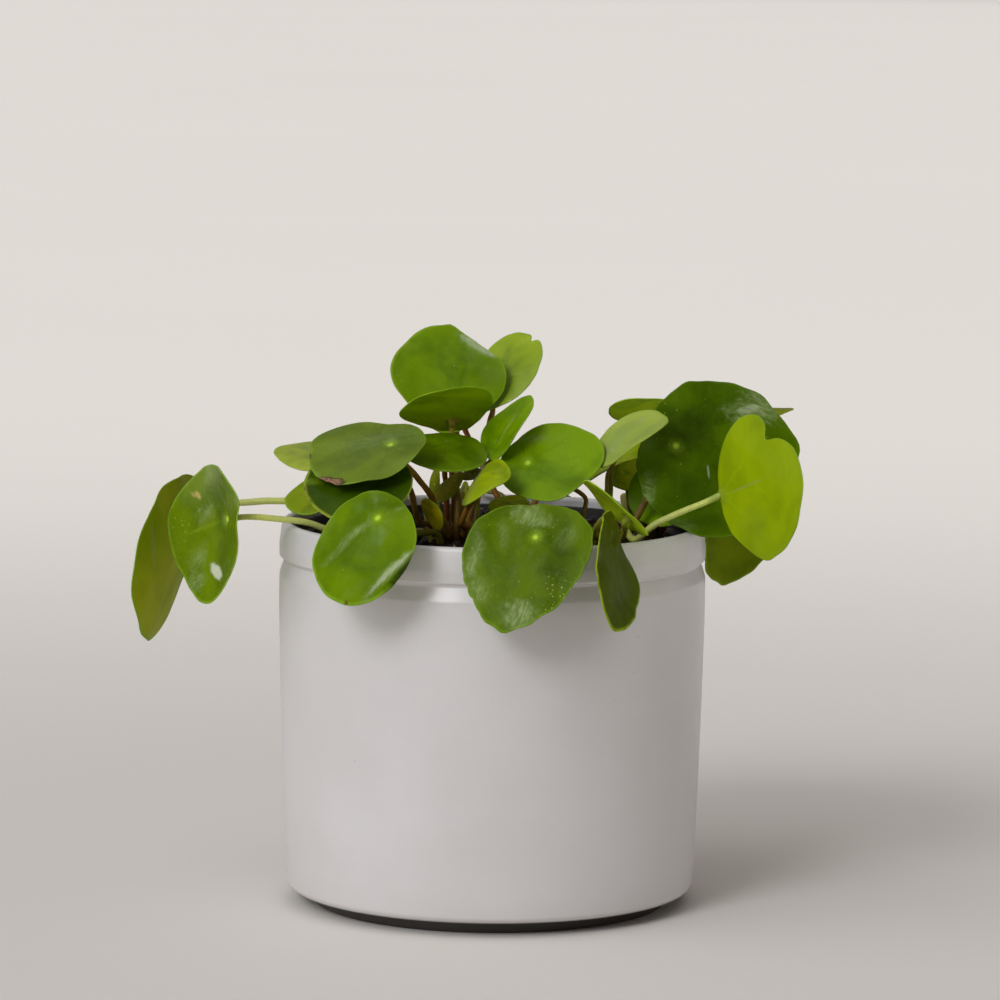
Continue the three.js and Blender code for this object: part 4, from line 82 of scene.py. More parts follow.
    ["back_left_mid", "BRIGHT", "PALE", [218, 50, 0], [30, 0.944, 0.202], [-0.001, 0.0055, -0.0058, -0.0071, -0.0095], [-0.284, -0.174, -0.0944], [0, 0, 1], 1.18, [[-43.14, 26.81, 147.6], [-43.36, 28.21, 149.69], [-43.57, 29.71, 151.72], [-43.78, 31.29, 153.69], [-43.99, 32.94, 155.62], [-44.21, 34.64, 157.5], [-44.44, 36.37, 159.35], [-44.68, 38.12, 161.16], [-44.96, 39.88, 162.94], [-45.26, 41.62, 164.7], [-45.6, 43.34, 166.44], [-45.97, 45.01, 168.16], [-46.4, 46.63, 169.88], [-46.87, 48.18, 171.58], [-47.4, 49.64, 173.29], [-48.0, 51.0, 175.0]]],
    ["back_centre_mid", "BRIGHT", "PALE", [165, 50, 0], [30, 0.972, 0.234], [0.0011, 0.0016, 0.0225, -0.0017, 0.0027], [-0.1412, -0.1654, -0.1422], [0, 0, 1], 1.18, [[14.21, 43.47, 147.6], [14.97, 44.43, 149.49], [15.74, 45.38, 151.39], [16.53, 46.32, 153.3], [17.33, 47.25, 155.21], [18.13, 48.18, 157.11], [18.92, 49.11, 159.01], [19.71, 50.04, 160.89], [20.48, 50.98, 162.76], [21.23, 51.93, 164.61], [21.96, 52.89, 166.43], [22.65, 53.87, 168.22], [23.31, 54.86, 169.98], [23.92, 55.88, 171.7], [24.49, 56.93, 173.37], [25.0, 58.0, 175.0]]],
    ["back_top", "BRIGHT", "RED", [178, 38, 0], [32, 0.96, 0.258], [0.0042, -0.0339, -0.0029, -0.0047, -0.0024], [-0.0962, -0.0276, 0.0536], [0, 0, 1], 1.19, [[4.74, 42.49, 150.4], [2.73, 44.1, 154.41], [0.65, 45.62, 158.49], [-1.47, 47.07, 162.6], [-3.62, 48.47, 166.74], [-5.77, 49.86, 170.89], [-7.9, 51.25, 175.02], [-9.97, 52.66, 179.14], [-11.98, 54.13, 183.2], [-13.89, 55.68, 187.21], [-15.68, 57.33, 191.14], [-17.33, 59.11, 194.97], [-18.81, 61.05, 198.69], [-20.1, 63.15, 202.28], [-21.17, 65.46, 205.72], [-22.0, 68.0, 209.0]]],
    ["back_young_right", "BRIGHT", "PALE", [130, 45, 0], [15, 0.958, 0.254], [-0.0001, -0.0211, -0.0101, -0.0004, 0.0181], [-0.1305, -0.1774, -0.0378], [0, 0, 1], 1.1, [[62.2, 30.81, 147.6], [62.32, 31.54, 149.53], [62.6, 32.36, 151.27], [63.04, 33.25, 152.82], [63.61, 34.21, 154.2], [64.29, 35.21, 155.43], [65.05, 36.24, 156.52], [65.87, 37.28, 157.5], [66.74, 38.31, 158.37], [67.62, 39.32, 159.16], [68.49, 40.3, 159.87], [69.34, 41.21, 160.54], [70.13, 42.06, 161.17], [70.86, 42.82, 161.78], [71.49, 43.47, 162.38], [72.0, 44.0, 163.0]]],
    ["back_left_high", "MID", "PALE", [186, 30, 4], [34, 0.937, 0.247], [0.0039, -0.0416, 0.0073, -0.0046, 0.0114], [-0.1875, -0.0126, -0.0367], [0, 0, 1], 1.2, [[7.57, 44.49, 147.6], [6.81, 46.42, 150.99], [5.75, 48.95, 153.42], [4.43, 52.01, 155.03], [2.91, 55.5, 155.96], [1.23, 59.33, 156.36], [-0.56, 63.42, 156.37], [-2.42, 67.68, 156.15], [-4.3, 72.02, 155.85], [-6.15, 76.36, 155.66], [-7.93, 80.62, 155.43], [-9.59, 84.7, 154.99], [-11.08, 88.52, 153.84], [-12.29, 91.38, 150.25], [-13.28, 94.25, 147.66], [-14.0, 97.0, 146.0]]],
    ["back_left_out", "BRIGHT", "PALE", [226, 40, 0], [30, 0.946, 0.246], [0.0106, -0.0115, -0.0185, 0.0015, 0.0002], [-0.2343, -0.2018, 0.1398], [0, 0, 1], 1.18, [[-46.3, 25.4, 150.4], [-47.49, 27.2, 153.66], [-48.8, 29.72, 155.95], [-50.22, 32.87, 157.39], [-51.72, 36.54, 158.11], [-53.31, 40.63, 158.25], [-54.96, 45.03, 157.95], [-56.67, 49.65, 157.34], [-58.43, 54.38, 156.56], [-60.23, 59.13, 155.77], [-62.06, 63.8, 154.97], [-63.32, 67.67, 153.07], [-64.57, 71.25, 151.53], [-65.78, 74.41, 150.45], [-66.94, 77.03, 149.9], [-68.0, 79.0, 150.0]]],
]
# [x, y, radius] of each short woody stem
STEMS = {
    "stem_main": [-16, -17, 6.2],
    "stem_right": [43, -21, 6.0],
    "stem_back": [10, 38, 5.2],
    "stem_left": [-42, 20, 5.2],
    "stem_far_right": [62, 24, 5.2],
}
SOIL_TOP, STEM_TOP = 145.0, 152.5


def lin(c):
    """sRGB 0-255 to linear."""
    out = []
    for x in c:
        x = x / 255
        out.append(x / 12.92 if x <= 0.04045 else ((x + 0.055) / 1.055) ** 2.4)
    return tuple(out)


# ---------------------------------------------------------------- node helpers
class Tree:
    """Short calls for building a node tree."""

    def __init__(self, name):
        self.mat = bpy.data.materials.new(name)
        self.mat.use_nodes = True
        self.nt = self.mat.node_tree
        self.nt.nodes.clear()

    def node(self, kind, **props):
        n = self.nt.nodes.new(kind)
        for k, v in props.items():
            setattr(n, k, v)
        return n

    def put(self, socket, value):
        if isinstance(value, bpy.types.NodeSocket):
            self.nt.links.new(value, socket)
        else:
            socket.default_value = value

    def math(self, op, a, b=None, c=None, clamp=False):
        n = self.node("ShaderNodeMath", operation=op, use_clamp=clamp)
        self.put(n.inputs[0], a)
        if b is not None:
            self.put(n.inputs[1], b)
        if c is not None:
            self.put(n.inputs[2], c)
        return n.outputs[0]

    def vmath(self, op, a, b=None, scale=None):
        n = self.node("ShaderNodeVectorMath", operation=op)
        self.put(n.inputs[0], a)
        if b is not None:
            self.put(n.inputs[1], b)
        if scale is not None:
            self.put(n.inputs["Scale"], scale)
        return n.outputs[1] if op in ("LENGTH", "DOT_PRODUCT", "DISTANCE") else n.outputs[0]

    def ramp(self, x, lo, hi, a=0.0, b=1.0, smooth=True):
        n = self.node("ShaderNodeMapRange", interpolation_type="SMOOTHSTEP" if smooth else "LINEAR")
        n.clamp = True
        self.put(n.inputs[0], x)
        for i, v in enumerate((lo, hi, a, b)):
            self.put(n.inputs[1 + i], v)
        return n.outputs[0]

    def mix(self, fac, a, b, blend="MIX"):
        n = self.node("ShaderNodeMix", data_type="RGBA", blend_type=blend)
        n.clamp_factor = True
        self.put(n.inputs[0], fac)
        self.put(n.inputs[6], (*a, 1) if isinstance(a, tuple) else a)
        self.put(n.inputs[7], (*b, 1) if isinstance(b, tuple) else b)
        return n.outputs[2]

    def noise(self, vec, scale, detail=2.0, rough=0.5, dist=0.0):
        n = self.node("ShaderNodeTexNoise", noise_dimensions="3D")
        self.put(n.inputs["Vector"], vec)
        self.put(n.inputs["Scale"], scale)
        self.put(n.inputs["Detail"], detail)
        self.put(n.inputs["Roughness"], rough)
        self.put(n.inputs["Distortion"], dist)
        return n.outputs[0]

    def voronoi(self, vec, scale, feature="F1", rnd=1.0):
        n = self.node("ShaderNodeTexVoronoi", voronoi_dimensions="3D", feature=feature)
        self.put(n.inputs["Vector"], vec)
        self.put(n.inputs["Scale"], scale)
        self.put(n.inputs["Randomness"], rnd)
        return n

    def attribute(self, name):
        n = self.node("ShaderNodeAttribute", attribute_name=name)
        n.attribute_type = "GEOMETRY"
        s = self.node("ShaderNodeSeparateXYZ")
        self.nt.links.new(n.outputs["Vector"], s.inputs[0])
        return n.outputs["Vector"], s.outputs[0], s.outputs[1], s.outputs[2]

    def place(self):
        """Object coordinates in millimetres, and their parts."""
        n = self.node("ShaderNodeTexCoord")
        v = self.vmath("SCALE", n.outputs["Object"], scale=1000.0)
        s = self.node("ShaderNodeSeparateXYZ")
        self.nt.links.new(v, s.inputs[0])
        return v, s.outputs[0], s.outputs[1], s.outputs[2]

    def bump(self, height, strength, distance, normal=None):
        n = self.node("ShaderNodeBump")
        self.put(n.inputs["Strength"], strength)
        self.put(n.inputs["Distance"], distance)
        self.put(n.inputs["Height"], height)
        if normal is not None:
            self.put(n.inputs["Normal"], normal)
        return n.outputs[0]

    def out(self, shader):
        n = self.node("ShaderNodeOutputMaterial")
        self.nt.links.new(shader, n.inputs[0])

    def principled(self, base, rough, normal=None, **fixed):
        n = self.node("ShaderNodeBsdfPrincipled")
        self.put(n.inputs["Base Color"], (*base, 1) if isinstance(base, tuple) else base)
        self.put(n.inputs["Roughness"], rough)
        if normal is not None:
            self.put(n.inputs["Normal"], normal)
        for k, v in fixed.items():
            n.inputs[k.replace("_", " ")].default_value = v
        return n.outputs[0]


def make_object(name, verts, faces, materials, replaces, attributes=None, face_material=None, smooth=True):
    me = bpy.data.meshes.new(name)
    me.from_pydata((np.asarray(verts) * MM).tolist(), [], faces)
    for m in materials:
        me.materials.append(m)
    if face_material is not None:
        me.polygons.foreach_set("material_index", np.asarray(face_material, np.int32))
    me.polygons.foreach_set("use_smooth", np.full(len(me.polygons), bool(smooth)))
    for key, value in (attributes or {}).items():
        a = me.attributes.new(key, "FLOAT_VECTOR", "POINT")
        a.data.foreach_set("vector", np.asarray(value, np.float32).ravel())
    me.update()
    ob = bpy.data.objects.new(name, me)
    bpy.context.scene.collection.objects.link(ob)
    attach(ob, "root")
    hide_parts(replaces)
    return ob


# ------------------------------------------------------------------ leaf looks
# Per leaf: top and under colours as sRGB, gloss (roughness), and what marks it. The colours are set so each leaf's tone
# comes out right under these lamps, so they carry painted light and shade as well; right_narrow, right_back_top,
# right_spot_lime, centre_pale_small and centre_grey_small stand in shade, and their colours are raised as painted
# light.
DEFAULT = {
    "DEEP": dict(top=(62, 88, 14), under=(84, 100, 34)),
    "MID": dict(top=(88, 112, 28), under=(104, 120, 44)),
    "BRIGHT": dict(top=(98, 126, 18), under=(116, 136, 40)),
    "LIME": dict(top=(128, 148, 24), under=(136, 156, 36)),
    "OLIVE": dict(top=(110, 126, 44), under=(112, 124, 48)),
}
LOOK = {
    "left_small_light": dict(top=(173, 194, 64), under=(190, 195, 85), gloss=0.4, crinkle=0.8, spec=0.3),
    "left_low_light": dict(top=(127, 152, 13), under=(154, 173, 28), gloss=0.4, margin=0.35, crinkle=0.8, rim_k=0.8),
    "far_left_back": dict(under=(174, 188, 17), top=(148, 172, 14), vary=0.7, gloss=0.36, thin=0.3, rim_k=0.8, marks=[('pale', 35.9, 18.1, 14, 2.2, 118, 0.35), ('pale', 12, 6, 16, 1.6, 20, 0.3)]),
    "left_shaded": dict(top=(60, 89, 0), under=(79, 106, 14), gloss=0.32, rim=(176, 190, 60), rim_k=0.8, marks=[('brown', 29.5, -10.5, 2.6, 2.2, 0, 0.95), ('lime', 24, -12, 8, 3, -40, 0.35)]),
    "far_left_front": dict(top=(103, 133, 14), under=(128, 153, 29), gloss=0.22, crinkle=1.7, coat=0.08, rim_k=0.85, spec=0.16, specks=0.16, wave=1.8, marks=[('scar', 17.8, -17.6, 1.7, 3.4, 30, 0.95), ('scar', 20.5, -19, 1.0, 2.4, 30, 0.6), ('pale', 20, -12, 2.0, 0.9, 10, 0.4), ('painted_sheen', 16, -9, 9, 5, 0, 0.6), ('painted_sheen', 26, 6, 9, 6, 20, 0.5), ('deep', 8, 10, 8, 7, 0, 0.3), ('painted_sheen', 30, 14.5, 8, 6, 0, 0.55), ('painted_sheen', 5, -22, 7, 4, 20, 0.55), ('lime', 17.6, -3.9, 18, 1.3, -11, 0.55), ('specks', 34, -11, 7, 6, 0, 0.6), ('painted_glint', 15.2, 16.2, 7.0, 3.2, 134, 1.0)]),
    "left_large": dict(top=(108, 134, 32), under=(133, 154, 49), bite=[(-14, 3.0, 0.035), (31, 4.0, 0.04), (24, 3.0, 0.03)], gloss=0.34, crinkle=1.6, vary=0.9, spec=0.18, specks=0.12, wave=1.6, marks=[('painted_sheen', 6, -5, 17, 9, 0, 0.34), ('deep', -8, 9, 14, 6, 0, 0.16), ('dry', 33.0, -7.8, 1.6, 4.6, 10, 1.0), ('dry', 27.0, 15.2, 6.6, 2.6, -30, 1.0)]),
    "top_large": dict(top=(105, 142, 0), under=(130, 162, 14), bite=[(-15.0, 4.6, -0.048)], gloss=0.4, crinkle=0.8, rim=(150, 186, 40), rim_k=0.9, wave=1.5, marks=[('painted_sheen', 20.5, -16.0, 13, 3.6, 37, 1.0), ('painted_glint', 20, -16.6, 11, 2.6, 37, 0.34), ('painted_sheen', 17, -13, 6, 4, -40, 0.16), ('deep', 8, -16, 9, 9, 0, 0.2), ('lime', 30, 12, 9, 3, 60, 0.3)], roll=[(-52, 0.27, 1.1)]),
    "front_left": dict(top=(101, 136, 0), under=(126, 156, 14), gloss=0.26, crinkle=0.8, coat=0.0, rim_k=0.85, spec=0.03, roll=[(52, 0.26, 1.5)], marks=[('painted_sheen', 7.6, -4.6, 8.5, 2.6, -32, 0.7), ('painted_sheen', 19, -9, 9, 2.6, -22, 0.5), ('deep', 12, 22.8, 21, 4.6, -14, 0.9), ('painted_sheen', 17.5, 16.6, 16, 2.2, -20, 0.9), ('painted_glint', 17.5, 16.6, 14, 1.1, -20, 0.36), ('deep', -6, 2, 7, 12, 20, 0.18), ('brown', 34.9, 6.2, 1.5, 1.0, 0, 0.8)]),
    "top_back_right": dict(top=(143, 171, 37), under=(172, 194, 55), gloss=0.38, crinkle=0.7, spec=0.16),
    "mid_shadowed": dict(top=(95, 128, 0), under=(119, 148, 14), spot=(100, 136, 16), gloss=0.36, specks=0.14, vary=1.6, marks=[('deep', 18.4, -6, 9, 10, 0, 0.25)]),
    "mid_under": dict(under=(155, 193, 5), top=(132, 172, 4), gloss=0.4, thin=0.16, glow=(130, 225, 60), vary=1.6),
    "centre_right": dict(top=(114, 153, 0), under=(140, 174, 14), slim=0.66, gloss=0.34, crinkle=0.9, wave=1.5, marks=[('painted_sheen', 0, 12, 13, 3.4, 0, 0.4), ('deep', 20, -12, 9, 6, 0, 0.25)]),
    "front_large": dict(top=(88, 117, 5), under=(111, 136, 19), bite=[(4.5, 6.0, -0.05), (-42, 3.0, 0.02), (-33, 2.6, 0.022), (-24, 2.4, 0.02), (-14, 3.0, 0.015)], gloss=0.3, crinkle=2.0, coat=0.0, ripple=1.6, edge=2.6, spec=0.04, specks=0.24, wave=1.8, marks=[('painted_sheen', -8, -6, 6.0, 11, 0, 0.85), ('painted_sheen', 31, 6, 7.0, 10, 0, 0.95), ('painted_sheen', 27, -12, 8, 4, 30, 0.6), ('painted_sheen', 16, -19, 12, 3.4, 10, 0.75), ('deep', 26, -21, 3, 1.2, 50, 0.5), ('deep', 8, 13, 15, 9, 0, 0.28), ('specks', 20, 18, 12, 7, 0, 1.0), ('painted_sheen', 2, -13, 9, 3, 30, 0.35), ('painted_sheen', -4, 12, 8, 5, 0, 0.28)]),
    "mid_folded": dict(top=(113, 153, 0), under=(138, 174, 14), spot=(112, 152, 26), gloss=0.34, marks=[('pale', 8.5, -1.8, 9, 1.6, 10, 0.28)]),
    "centre_lime": dict(top=(152, 176, 9), under=(183, 195, 24), spot=(140, 158, 34), gloss=0.36),
    "right_narrow": dict(under=(214, 248, 42), top=(150, 182, 50), gloss=0.4, thin=0.1, glow=(150, 240, 60)),
    "right_back_top": dict(under=(212, 246, 42), top=(150, 180, 50), gloss=0.4, thin=0.1, glow=(150, 240, 60)),
    "right_light": dict(top=(167, 190, 81), under=(190, 195, 103), spot=(160, 180, 104), slim=0.62, gloss=0.36, spec=0.2, crinkle=1.1, vary=0.45, veins=0.08, marks=[('painted_sheen', 2, 3, 12, 8, 20, 0.3), ('deep', -8.6, -6.8, 4, 4, 0, 0.35), ('pale', 16.1, 6.8, 4.2, 1.6, 30, 0.5)]),
    "front_narrow": dict(top=(77, 95, 0), under=(99, 112, 14), spot=(84, 94, 28), gloss=0.36, spec=0.03, rim=(168, 196, 40), rim_k=1.0, edge=2.6, ripple=1.6),
    "right_dark": dict(top=(76, 108, 0), under=(97, 127, 14), rim_k=0.18, gloss=0.22, crinkle=1.6, coat=0.03, ripple=2.2, edge=3.0, spec=0.06, specks=0.2, wave=2.6, marks=[('painted_sheen', 27, 24, 15, 8.5, 22, 1.0), ('painted_glint', 24, 23, 6, 2.0, 30, 0.25), ('painted_sheen', -6, -22, 3.6, 9.5, 15, 0.85), ('painted_glint', 14.9, -6.4, 0.7, 3.6, 20, 0.3), ('painted_sheen', -12, 2, 4, 9, 10, 0.22), ('painted_sheen', 10, -30, 9, 3, 10, 0.3), ('deep', 3, 8, 15, 13, 0, 0.5), ('deep', 12, -16, 12, 8, 0, 0.25), ('lime', 4, 33, 10, 3, 0, 0.25)]),
    "right_tip": dict(top=(138, 151, 2), under=(166, 172, 16), gloss=0.36, spec=0.1),
    "right_olive": dict(top=(103, 125, 0), under=(127, 144, 14), edge=3.0, ripple=1.5, spec=0.03),
    "right_under": dict(top=(149, 199, 3), under=(178, 195, 18), thin=0.25, glow=(140, 225, 60)),
    "centre_olive_small": dict(top=(177, 170, 5), under=(190, 195, 20)),
    "right_spot_lime": dict(top=(236, 248, 66), under=(170, 186, 60), thin=0.25, glow=(200, 240, 110)),
    "right_edge_on": dict(top=(152, 176, 0), under=(182, 195, 14), gloss=0.36),
    "centre_small_right": dict(top=(146, 161, 1), under=(176, 182, 15), spec=0.03),
    "centre_dark_small": dict(top=(140, 140, 0), under=(168, 161, 14), spec=0.02),
    "right_lime": dict(under=(172, 200, 3), top=(146, 172, 4), gloss=0.45, vary=0.7, under_veins=0.22, bite=[(-30, 4.5, 0.1), (-25, 7, 0.05)], crinkle=0.7, thin=0.3, glow=(170, 215, 60), veins=0.1, marks=[('pale', 18, -2, 17, 0.7, -8, 0.32), ('lime', 20, 12, 12, 8, 20, 0.35), ('specks', 33, 15, 6, 8, 0, 0.7)], edge=2.6),
    "centre_back_small": dict(top=(134, 147, 0), under=(162, 168, 14), spec=0.03),
    "centre_pale_small": dict(top=(222, 236, 96), under=(170, 182, 80), thin=0.2, glow=(220, 240, 140)),
    "centre_grey_small": dict(under=(204, 210, 122), top=(150, 160, 84), thin=0.2, glow=(220, 240, 200)),
    "back_right_high": dict(top=(96, 116, 24), under=(120, 135, 44)),
    "back_right_mid": dict(top=(62, 82, 14), under=(81, 99, 33)),
    "back_right_low": dict(top=(100, 126, 20), under=(124, 146, 40)),
    "back_right_inner": dict(top=(84, 106, 18), under=(106, 124, 38)),
    "back_centre_low": dict(top=(58, 80, 12), under=(77, 97, 31)),
    "back_left_low": dict(top=(92, 112, 26), under=(115, 131, 47)),
    "back_left_mid": dict(top=(88, 112, 16), under=(111, 131, 36)),
    "back_centre_mid": dict(top=(78, 100, 14), under=(99, 118, 33)),
    "back_top": dict(top=(102, 122, 26), under=(126, 141, 47)),
    "back_young_right": dict(top=(128, 146, 34), under=(155, 167, 55)),
    "back_left_high": dict(top=(96, 120, 16), under=(120, 139, 36)),
    "back_left_out": dict(top=(110, 126, 36), under=(135, 146, 58)),
}


# -------------------------------------------------------------- leaf geometry
def blade_frame(turn):
    a, e, s = (math.radians(x) for x in turn)
    n = np.array([math.sin(a) * math.cos(e), -math.cos(a) * math.cos(e), math.sin(e)])
    level = np.array([math.cos(a), math.sin(a), 0.0])
    down = np.cross(level, n)
    down /= np.linalg.norm(down)
    u = down * math.cos(s) + level * math.sin(s)
    return u, np.cross(n, u), n


def rim_table(size, outline, notch):
    """Distance from the joint to the rim against the angle about the joint."""
    length, width, offset = size
    s2, c3, s3, c4, s4 = outline
    t = np.linspace(-np.pi, np.pi, 2881)
    r = 1 + s2 * np.sin(2 * t) + c3 * np.cos(3 * t) + s3 * np.sin(3 * t) + c4 * np.cos(4 * t) + s4 * np.sin(4 * t)
    if notch[0]:
        away = np.angle(np.exp(1j * (t - math.radians(notch[1]))))
        r = r - notch[0] * np.exp(-((away / math.radians(notch[2])) ** 2))
    x, y = 0.5 * length * r * np.cos(t) + offset * length, 0.5 * length * width * r * np.sin(t)
    angle, dist = np.arctan2(y, x), np.hypot(x, y)
    order = np.argsort(angle)
    angle, dist = angle[order], dist[order]
    return np.concatenate([angle - 2 * np.pi, angle, angle + 2 * np.pi]), np.tile(dist, 3)


def waves(rng, count, low, high):
    """Random plane waves of wavelengths low..high mm, used as smooth unevenness."""
    out = []
    for _ in range(count):
        a, w, p = rng.rand() * 2 * np.pi, low + (high - low) * rng.rand(), rng.rand() * 2 * np.pi
        out.append((2 * np.pi / w * math.cos(a), 2 * np.pi / w * math.sin(a), p))
    return out


def smooth_path(points, step):
    """The stalk's centre line as a Catmull-Rom curve, resampled at even steps."""
    p = np.asarray(points, float)
    p = np.vstack([2 * p[0] - p[1], p, 2 * p[-1] - p[-2]])
    out = []
    for i in range(1, len(p) - 2):
        t = np.linspace(0, 1, 13)[:-1, None]
        a, b, c, d = p[i - 1], p[i], p[i + 1], p[i + 2]
        out.append(0.5 * (2 * b + (c - a) * t + (2 * a - 5 * b + 4 * c - d) * t**2 + (3 * b - a - 3 * c + d) * t**3))
    out = np.vstack(out + [p[-2][None]])
    for _ in range(3):  # the routed points carry small steps: ease them out, ends kept
        out[2:-2] = (out[:-4] + out[1:-3] * 2 + out[2:-2] * 2 + out[3:-1] * 2 + out[4:]) / 8
    arc = np.r_[0, np.cumsum(np.linalg.norm(np.diff(out, axis=0), axis=1))]
    count = max(12, int(arc[-1] / step))
    s = np.linspace(0, arc[-1], count)
    return np.stack([np.interp(s, arc, out[:, k]) for k in range(3)], 1)


def build_leaf(row, index):
    name, tint, stalk, turn, size, outline, cup, notch, radius, path = row
    look = dict(DEFAULT[tint])
    look.update(LOOK.get(name, {}))
    length = size[0]
    rng = np.random.RandomState(100 + index)
    u, v, n = blade_frame(turn)
    joint = np.array(path[-1], float)
    table_a, table_r = rim_table(size, outline, notch)
    big = length > 40
    around = 240 if notch[0] else 120 if big else 96 if length > 25 else 60
    sides = around // (12 if notch[0] else 6)
    per = around // sides
    rings = 30 if big else 24 if length > 25 else 15
    theta = 2 * np.pi * np.arange(around) / around
    # small scallops of the rim
    ph = rng.rand(6) * 2 * np.pi
    rough_edge = look.get("edge", 1.0) * 0.0035
    scallop = lambda t: 1 + rough_edge * (np.sin(9 * t + ph[0]) + 0.8 * np.sin(14 * t + ph[1]) + 0.6 * np.sin(23 * t + ph[2]))
    bites = look.get("bite", [])

    def reach(t):
        far = np.interp(np.angle(np.exp(1j * t)), table_a, table_r) * scallop(t)
        for at, wide, deep in bites:  # small bites and tears in the rim: degrees, degrees, share
            away = np.angle(np.exp(1j * (t - math.radians(at)))) / math.radians(wide)
            far = far * (1 - deep * np.exp(-(away**2)))
        return far

    along, across, diagonal = cup
    scale = min(1.0, length / 45)
    gentle, fine = waves(rng, 5, 16, 30), waves(rng, 5, 5, 9)
    ripple = look.get("ripple", 1.0)
    wave_a, wave_b = look.get("wave", 1.0) * 0.16 * scale, 0.018 * scale
    rolls = look.get("roll", [])

    def height(x, y):
        p, q = x / length, y / length
        w = length * (along * p * p + across * q * q + diagonal * p * q)
        r = np.hypot(x, y)
        t = np.arctan2(y, x)
        rho = np.clip(r / reach(t), 0, 1.1)
        w = w - 0.7 * scale * np.exp(-((r / (2.3 * scale)) ** 2)) + 0.18 * scale * np.exp(-(((r - 4.2 * scale) / (2.2 * scale)) ** 2))
        # rim ripple, the quilting between the veins, soft unevenness
        w = w + ripple * scale * rho**3 * (0.24 * np.sin(3 * t + ph[3]) + 0.2 * np.sin(5 * t + ph[4]) + 0.12 * np.sin(8 * t + ph[5]))
        w = w - 0.07 * scale * np.clip(rho, 0, 1) ** 0.7 * (1 - 0.75 * rho) * np.cos(4.5 * (t + 0.12 * np.sin(t))) ** 20
        for kx, ky, p0 in gentle:
            w = w + wave_a * np.sin(kx * x + ky * y + p0) * rho
        for kx, ky, p0 in fine:
            w = w + wave_b * np.sin(kx * x + ky * y + p0)
        for direction, start, strength in rolls:
            a = math.radians(direction)
            far = (x - size[2] * length) * math.cos(a) + y * math.sin(a) - start * length
            w = w - strength * np.maximum(far, 0) ** 2 / length
        return w

    def half(rho):
        return 0.45 * (1 - 0.42 * rho**4)

    def face(x, y, offset):
        """World points offset mm off the blade's middle surface along its own normal."""
        h = 0.05
        w = height(x, y)
        sx = (height(x + h, y) - height(x - h, y)) / (2 * h)
        sy = (height(x, y + h) - height(x, y - h)) / (2 * h)
        k = offset / np.sqrt(1 + sx * sx + sy * sy)
        return joint + np.outer(x - sx * k, u) + np.outer(y - sy * k, v) + np.outer(w + k, n)

    verts, local, state, faces, mats = [], [], [], [], []

    def ring(x, y, offset, rho, side):
        at = sum(len(b) for b in verts)
        verts.append(face(x, y, offset))
        local.append(np.stack([x, y, np.full(len(x), float(side))], 1))
        state.append(np.stack([np.full(len(x), float(rho)), np.zeros(len(x)), np.zeros(len(x))], 1))
        return at + np.arange(len(x))

    edge_r = reach(theta)
    ex, ey = edge_r * np.cos(theta), edge_r * np.sin(theta)
    crown = ring(np.zeros(1), np.zeros(1), half(0), 0, 1)[0]
    share = np.linspace(0, 1, rings + 1)[1:] ** 0.92
    share[-1] = 1 - 0.45 * (1 - 0.42) / edge_r.mean()
    upper = [ring(ex * s, ey * s, half(s), s, 1) for s in share]
    for i in range(around):
        faces.append((crown, upper[0][i], upper[0][(i + 1) % around]))

    def strip(a, b):
        for i in range(around):
            j = (i + 1) % around
            faces.append((a[i], b[i], b[j], a[j]))

    for a, b in zip(upper, upper[1:]):
        strip(a, b)
    # the rounded rim
    t_rim = half(1.0)
    last = upper[-1]
    for k in (60, 30, 0, -30, -60):
        f = math.radians(k)
        inset = (1 - math.cos(f)) * t_rim / edge_r
        now = ring(ex * (1 - inset), ey * (1 - inset), math.sin(f) * t_rim, 1.0, math.sin(f))
        strip(last, now)
        last = now
    # the underside, down to the foot of the stalk
    foot = min(2.1 * radius, 0.78 * edge_r.min(), 0.2 * length)
    fx, fy = foot * np.cos(theta), foot * np.sin(theta)
    for s in share[::-1]:
        now = ring(fx + (ex - fx) * s, fy + (ey - fy) * s, -half(s), s, -1)
        strip(last, now)
        last = now
    now = ring(fx, fy, -half(0), 0, -1)
    strip(last, now)
    socket_n = now
    blade_faces = len(faces)
    # ---- stalk
    line = smooth_path(path, 1.3)[::-1]
    line[0] = joint
    tangent = np.gradient(line, axis=0)
    tangent /= np.linalg.norm(tangent, axis=1)[:, None]
    lean = math.acos(max(-1.0, min(1.0, float(-tangent[0] @ n))))
    clear = min(radius * math.tan(min(lean, 1.15)) + 1.5, 5.0) * min(1.0, 0.45 + length / 40)
    arc = np.r_[0, np.cumsum(np.linalg.norm(np.diff(line, axis=0), axis=1))]
    keep = [i for i in range(len(line)) if arc[i] > clear + 0.5]
    start_point = np.array([np.interp(clear, arc, line[:, k]) for k in range(3)])
    points = [start_point] + [line[i] for i in keep]
    # the foot of the stalk runs a little into the stem that carries it
    end_dir = points[-1] - points[-2]
    end_dir /= np.linalg.norm(end_dir)
    points.append(points[-1] + end_dir * 0.9)
    points = np.array(points)
    ring_angles = theta[::per]
    inner = 0.86 * foot
    at = sum(len(b) for b in verts)
    verts.append(face(inner * np.cos(ring_angles), inner * np.sin(ring_angles), -half(0) - 0.02))
    local.append(np.stack([inner * np.cos(ring_angles), inner * np.sin(ring_angles), -np.ones(sides)], 1))
    state.append(np.zeros((sides, 3)))
    socket_s = at + np.arange(sides)
    for k in range(sides):
        nk, hf = (k + 1) % sides, per // 2
        rim_of = lambda i: socket_n[(k * per + i) % around]
        for i in range(hf):
            faces.append((rim_of(i), socket_s[k], rim_of(i + 1)))
        faces.append((rim_of(hf), socket_s[k], socket_s[nk]))
        for i in range(hf, per):
            faces.append((rim_of(i), socket_s[nk], rim_of(i + 1)))
